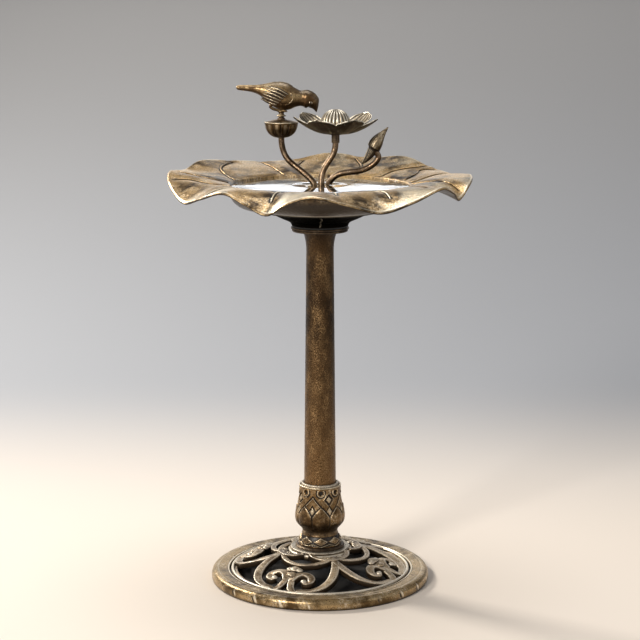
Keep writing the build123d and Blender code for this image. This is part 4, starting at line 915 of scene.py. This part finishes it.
def make_bird():
    """Bird leaning forward on bent legs, with layered wing feathers, tail lines, eyes and a beak."""
    line = bird_skin()
    path = np.column_stack([line[:, 0], np.zeros(len(line)), line[:, 1]])
    tangent = unit(np.gradient(path, axis=0))
    level = smooth_step(24, 36, line[:, 0])[:, None]
    tangent = unit(tangent * level + np.array([1.0, 0, 0]) * (1 - level))
    side = np.broadcast_to([0.0, 1.0, 0.0], path.shape)
    above = np.cross(side, tangent)
    turn = np.linspace(0, tau, 72, endpoint=False)
    power = 2 / 2.25
    c = np.sign(np.cos(turn)) * np.abs(np.cos(turn)) ** power
    s = np.sign(np.sin(turn)) * np.abs(np.sin(turn)) ** power
    place = np.array([POD_X, POD_Y, PERCH_Z])
    grid = path[:, None] + side[:, None] * (line[:, 3:4] * c)[..., None]
    grid += above[:, None] * (line[:, 2:3] * s)[..., None]
    # tone by side of the body: lighter where s is above zero (the belly side), darker where s is below -0.4
    # (along the back)
    body_tone = 0.5 + 0.16 * s[None, :] * smooth_step(-40, -5, line[:, 0])[:, None] - 0.16 * (s[None, :] < -0.4)
    tail = 1 - smooth_step(-36, -28, line[:, 0])
    stripes = 0.22 * np.cos(c[None, :] * 11) * tail[:, None] * (s[None, :] > -0.2)
    beak = smooth_step(46.6, 48.0, line[:, 0])[:, None]
    relief = body_tone + stripes - 0.25 * beak
    grid[..., 2] += 0.35 * np.cos(c[None, :] * 11) * (tail[:, None] * (s[None, :] > -0.2))
    bird = Shape()
    bird.rings(grid + place, relief, flip=True)
    for way in (-1, 1):
        for k in range(WING_FEATHERS):
            share = k / (WING_FEATHERS - 1)
            start = np.array([9.5 - 3.2 * k, 25.5 - 2.9 * k])
            end = np.array([-20.0 - 1.68 * k, 36.5 - 3.4 * k])
            bend = (start + end) / 2 + np.array([0.8, 1.6 - 2.4 * share])
            run = spline([start, bend, end], 26)
            out = np.array([flank(line, a, h) for a, h in run])
            lift = 0.3 + 0.55 * share
            points = np.column_stack([run[:, 0], way * (out + lift), run[:, 1]]) + place
            width = taper(26, 1.6, 3.4, 0.7)
            tube(bird, points, width, around=14, up=(0, way, 0.15), relief=0.10, flat=0.34)
            shaft = points + np.array([0, way * 0.75, 0])
            tube(bird, shaft, taper(26, 0.5, 1.15, 0.35), around=8, up=(0, way, 0.15), relief=0.80)
        shoulder = spline([(13, 27), (16.5, 20), (12, 13.5), (4, 11.5), (-4, 13.5)], 30)
        out = np.array([flank(line, a, h) for a, h in shoulder])
        points = np.column_stack([shoulder[:, 0], way * (out + 0.1), shoulder[:, 1]]) + place
        tube(bird, points, taper(30, 0.8, 1.6, 0.5), around=10, up=(0, way, 0), relief=0.7, flat=0.5)
        out = 10.4
        ball(bird, place + (EYE[0], way * out, EYE[1]), (2.5, 1.2, 2.5), 0.78)
        ball(bird, place + (EYE[0], way * (out + 0.5), EYE[1]), (1.6, 1.0, 1.6), 0.05)
        leg = spline(np.array(LEG) * (1, way, 1), 36) + place
        thick = np.interp(np.linspace(0, 1, 36), [0, 0.25, 0.45, 1], [4.2, 2.9, 1.7, 1.7])
        tube(bird, leg, thick, around=14, relief=0.4)
        for spread in (-18, 12, 44):
            ahead, out = TOE * cos(radians(spread)), 0.6 * TOE * sin(radians(spread))
            toe = np.array([(0, 3, 2.2), (ahead / 2, 3 + out / 2, 2.7), (ahead, 3 + out, 0.9)]) * (1, way, 1)
            tube(bird, spline(toe, 14) + place, taper(14, 1.4, 1.6, 0.6), around=10, relief=0.55)
    low_ring = [(3.15, -5.6, 0.1), (5.8, -5.6, 0.2), (6.8, -4.7, 0.7), (5.8, -3.8, 0.75), (3.9, -2.8, 0.2)]
    low_ring += [(3.7, -0.6, 0.2), (4.6, 0.2, 0.3), (5.6, 0.9, 0.55), (5.2, 2.0, 0.6), (3.4, 2.7, 0.5)]
    low_ring += [(2.6, 8.0, 0.2), (1.65, 8.0, 0.1), (1.65, 0.05, 0.1), (3.15, 0.05, 0.1)]
    lathe(bird, [(r, PERCH_Z + z, v) for r, z, v in low_ring], around=48, centre=(POD_X, POD_Y))
    bird.make("garden_bird", bird_metal, "bird", ["bird"])


make_bird()


# ---------------------------------------------------------------- flower
petals_low, petals_high = edges_mm("flower_petals")
FLOWER_X, FLOWER_Y = (petals_low[:2] + petals_high[:2]) / 2
FLOWER_Z = petals_low[2]
PETAL_REACH = (petals_high[0] - petals_low[0]) / 2
PETAL_RISE = petals_high[2] - FLOWER_Z
PETAL_COUNT = 7
SEED_ROWS = 22
PETAL_FIRST = radians(270 + 180 / 7)  # a gap between petals faces the front
PETAL_TILT = radians(-1.5)  # the flower leans a little towards the front
# How far each petal's tip is bent up, anticlockwise from the first.
PETAL_LIFT = [1.6, -0.8, 3.8, -6.0, 3.8, 2.0, 1.6]


def leaning(points):
    """Points of the flower, tilted about its base."""
    base = np.array([FLOWER_X, FLOWER_Y, FLOWER_Z])
    x, y, z = np.moveaxis(points - base, -1, 0)
    y, z = y * cos(PETAL_TILT) - z * sin(PETAL_TILT), z * cos(PETAL_TILT) - y * sin(PETAL_TILT)
    return np.stack([x, y, z], -1) + base


def petal_grid(turn, thick, lift):
    """Closed skin of one petal: upper face from edge to edge, then back underneath."""
    along = np.linspace(0, 1, 44)
    across = np.linspace(-1, 1, 41)
    radius = 6 + (PETAL_REACH - 6) * along
    shares, halves = [0, 0.25, 0.5, 0.68, 0.82, 0.92, 0.97, 1], [3.0, 10.4, 18.2, 21.4, 19.6, 13.6, 7.4, 0.6]
    widest = np.interp(along, shares, halves)
    u, v = np.meshgrid(across, along)
    side = u * widest[:, None]
    bulge = 1 - u**2
    rise = PETAL_RISE * (0.14 * v + 0.82 * v**1.9) - 1.2 * bulge * np.sin(pi * v) + lift * v**1.3
    cup = 3.2 * u**2 * np.sin(pi * np.clip(v * 1.05, 0, 1)) ** 0.8
    ribs = np.cos(u * 6 * pi) * smooth_step(0.05, 0.3, v) * (1 - 0.5 * smooth_step(0.9, 1, v))
    z = FLOWER_Z + 1.2 + rise + cup + 0.28 * ribs
    reach = radius[:, None] - 1.6 * u**2 * v
    upper = np.stack([reach * cos(turn) - side * sin(turn), reach * sin(turn) + side * cos(turn), z], -1)
    upper += np.array([FLOWER_X, FLOWER_Y, 0])
    lower = upper.copy()
    lower[..., 2] -= thick + 0.168 * ribs
    edge = smooth_step(0.90, 0.985, np.abs(u)) + smooth_step(0.95, 0.995, v)
    top_relief = 0.44 + 0.36 * ribs + 0.34 * np.clip(edge, 0, 1)
    # painted shade: the petal's underside is darkened, with a paler line along its edges
    underside_shade_relief = 0.16 + 0.06 * ribs + 0.5 * smooth_step(0.975, 1.0, np.abs(u))
    grid = np.concatenate([upper, lower[:, ::-1]], axis=1)
    return grid, np.concatenate([top_relief, underside_shade_relief[:, ::-1]], axis=1)


def make_flower_petals():
    """Seven cupped petals with fine ribs, pale inside and darkened beneath as painted shade, on a small
    plate.
    """
    flower = Shape()
    for petal in range(PETAL_COUNT):
        grid, relief = petal_grid(PETAL_FIRST + petal * tau / PETAL_COUNT, 1.5, PETAL_LIFT[petal])
        flower.rings(leaning(grid), relief)
    plate = [(1.75, 0.05, 0.2), (9, 0.05, 0.25), (13, 1.0, 0.25), (12, 2.2, 0.4), (1.75, 1.9, 0.4)]
    plate = [(r, FLOWER_Z + z, value) for r, z, value in plate]
    lathe(flower, dense(plate, 2), around=60, centre=(FLOWER_X, FLOWER_Y))
    flower.make("lotus_petals", ornament_metal, "bowl", ["flower_petals"])


def make_seed_dome():
    """Domed seed head with a rib for every seed row."""
    low, high = edges_mm("seed_dome")
    reach = (high[0] - low[0]) / 2 + 1.6
    edge_z = low[2] + 13.6
    top = high[2] + 1.8
    rows = [(3.5, low[2] + 0.3, 0.2), (reach * 0.55, low[2] + 0.3, 0.3)]
    rows += [(reach - 1.2, edge_z - 1.6, 0.35), (reach, edge_z, 0.6)]
    for t in np.linspace(0, pi / 2, 26)[1:]:
        rows.append((max(0.6, reach * cos(t) ** 0.85), edge_z + (top - edge_z) * sin(t), 0.5))
    rows += [(0.5, top - 2, 0.3), (3.5, low[2] + 2.6, 0.2)]

    def ribs(angle, radius, height, relief):
        outside = (height > edge_z - 0.5) * (radius > 1.5) * smooth_step(1.5, 5, radius)
        ridge = (0.5 + 0.5 * np.cos(angle * SEED_ROWS)) ** 0.7
        valley = outside * (1 - ridge)
        relief = relief * (1 - outside) + outside * (0.05 + 0.95 * ridge)
        return radius - 1.15 * valley, height - 0.5 * valley, relief

    dome = Shape()
    lathe(dome, dense(rows, 0.8), around=16 * SEED_ROWS, centre=(FLOWER_X, FLOWER_Y), move=ribs)
    dome.make("ribbed_seed_dome", ornament_metal, "bowl", ["seed_dome"])


make_flower_petals()
make_seed_dome()


# ---------------------------------------------------------------- leaf bud
bud_low, bud_high = edges_mm("leaf_bud")


def make_leaf_bud():
    """Young leaf rolled on itself: a spindle whose free edge winds round it, pointed at both ends."""
    start = np.array([bud_low[0] + 1.2, 0.0, bud_low[2] + 0.6])
    end = np.array([bud_high[0] - 0.6, 0.0, bud_high[2] - 0.4])
    axis = (end - start) / np.linalg.norm(end - start)
    across = np.array([0.0, 1.0, 0.0])
    normal = np.cross(across, axis)
    share = np.linspace(0, 1, 90)
    turn = np.linspace(0, tau, 96, endpoint=False)
    body = 8.2 * np.sin(pi * share**0.92) ** 0.85 * (1 - 0.34 * smooth_step(0.55, 1, share)) + 0.35
    sheath = smooth_step(0.40, 0.45, share)
    body *= 0.80 + 0.28 * sheath
    seam = 3.6 + 1.9 * share  # the free edge winds round the bud
    from_seam = np.mod(turn[None, :] - seam[:, None], tau) / tau
    wrap = 0.90 + 0.20 * (1 - from_seam) ** 1.2
    groove = bell(np.minimum(from_seam, 1 - from_seam), 0, 0.018)
    veins = np.cos(turn[None, :] * 14 + 5 * share[:, None])
    radius = body[:, None] * wrap - 0.5 * groove + 0.10 * veins
    bend = 2.6 * np.sin(pi * share) * np.cos(pi * share)
    path = start + axis * (share * np.linalg.norm(end - start))[:, None] + normal * bend[:, None]
    ring = np.cos(turn)[:, None] * across + np.sin(turn)[:, None] * normal
    grid = path[:, None] + radius[..., None] * ring
    edge = bell(from_seam, 0.03, 0.03)
    lit = np.sin(turn + 0.6)[None, :]
    step = bell(share, 0.41, 0.02)[:, None]
    relief = 0.26 + 0.34 * sheath[:, None] * (0.7 + 0.5 * lit) + 0.10 * veins
    relief += 0.4 * edge - 0.4 * groove - 0.5 * step
    bud = Shape()
    bud.rings(grid, relief, flip=True)
    bud.make("furled_leaf_bud", ornament_metal, "bowl", ["leaf_bud"])


make_leaf_bud()


# ---------------------------------------------------------------- stage, light, camera
def make_stage():
    """Pale floor that curves up into a grey wall."""
    wide, front, bend_y, wall_y, tall = 6.0, -4.0, 1.1, 3.3, 5.0
    radius = wall_y - bend_y
    profile = [(front, 0.0), (0.0, 0.0), (bend_y, 0.0)]
    for t in np.linspace(0, pi / 2, 40)[1:]:
        profile.append((bend_y + radius * sin(t), radius * (1 - cos(t))))
    profile.append((wall_y, tall))
    points = [(x, y, z) for y, z in profile for x in (-wide, wide)]
    faces = [(2 * i, 2 * i + 1, 2 * i + 3, 2 * i + 2) for i in range(len(profile) - 1)]
    data = bpy.data.meshes.new("studio_floor")
    data.from_pydata(points, [], faces)
    data.shade_smooth()
    made, tree, shader, place = new_material("studio_paper", Roughness=0.9)
    far = ramp(tree, axis_of(tree, place, "Y"), 0.1, 1.35)
    high = ramp(tree, axis_of(tree, place, "Z"), 0.0, 0.8)
    paper = mix(tree, high, mix(tree, far, (0.80, 0.715, 0.63), (0.39, 0.40, 0.425)), (0.35, 0.345, 0.345))
    feed(tree, paper, shader.inputs["Base Color"])
    data.materials.append(made)
    floor = bpy.data.objects.new("studio_floor", data)
    bpy.context.scene.collection.objects.link(floor)


def add_light(name, place, target, size, power, tint, tall=None):
    """An area light at place, facing target; square, or size wide and tall high."""
    data = bpy.data.lights.new(name, "AREA")
    data.size = size
    if tall:
        data.shape = "RECTANGLE"
        data.size_y = tall
    data.energy = power
    data.color = tint
    lamp = bpy.data.objects.new(name, data)
    bpy.context.scene.collection.objects.link(lamp)
    lamp.location = place
    lamp.rotation_euler = (Vector(target) - Vector(place)).to_track_quat("-Z", "Y").to_euler()


def make_camera():
    """Camera at the photograph's view, for this object's height."""
    data = bpy.data.cameras.new("camera")
    data.lens = 104.4
    data.sensor_width = 36
    camera = bpy.data.objects.new("camera", data)
    bpy.context.scene.collection.objects.link(camera)
    camera.location = (0.0, -2.5768, 0.8461)
    camera.rotation_euler = (radians(90 - 10.33), 0, 0)
    bpy.context.scene.camera = camera


make_stage()
add_light("key_left", (-1.75, 1.35, 1.75), (0, 0, 0.25), 0.45, 54, (1.0, 0.95, 0.87))
add_light("front_left", (-1.5, -2.2, 1.7), (0, 0, 0.35), 0.6, 54, (1.0, 0.95, 0.88))
add_light("fill_right", (2.2, -1.2, 1.3), (0, 0, 0.4), 1.2, 6, (0.92, 0.96, 1.0))
add_light("sky_card", (0.0, 2.785, 1.17), (0, 0, 0.9), 3.2, 9.5, (0.95, 0.97, 1.0), tall=0.6)
add_light("top_soft", (0.0, 0.3, 2.6), (0, 0, 0.3), 1.2, 24, (1.0, 0.99, 0.97))
world = bpy.data.worlds.new("studio")
world.use_nodes = True
world.node_tree.nodes["Background"].inputs["Color"].default_value = (0.95, 0.96, 1.0, 1.0)
world.node_tree.nodes["Background"].inputs["Strength"].default_value = 0.22
bpy.context.scene.world = world
bpy.context.scene.view_settings.view_transform = "Standard"
make_camera()
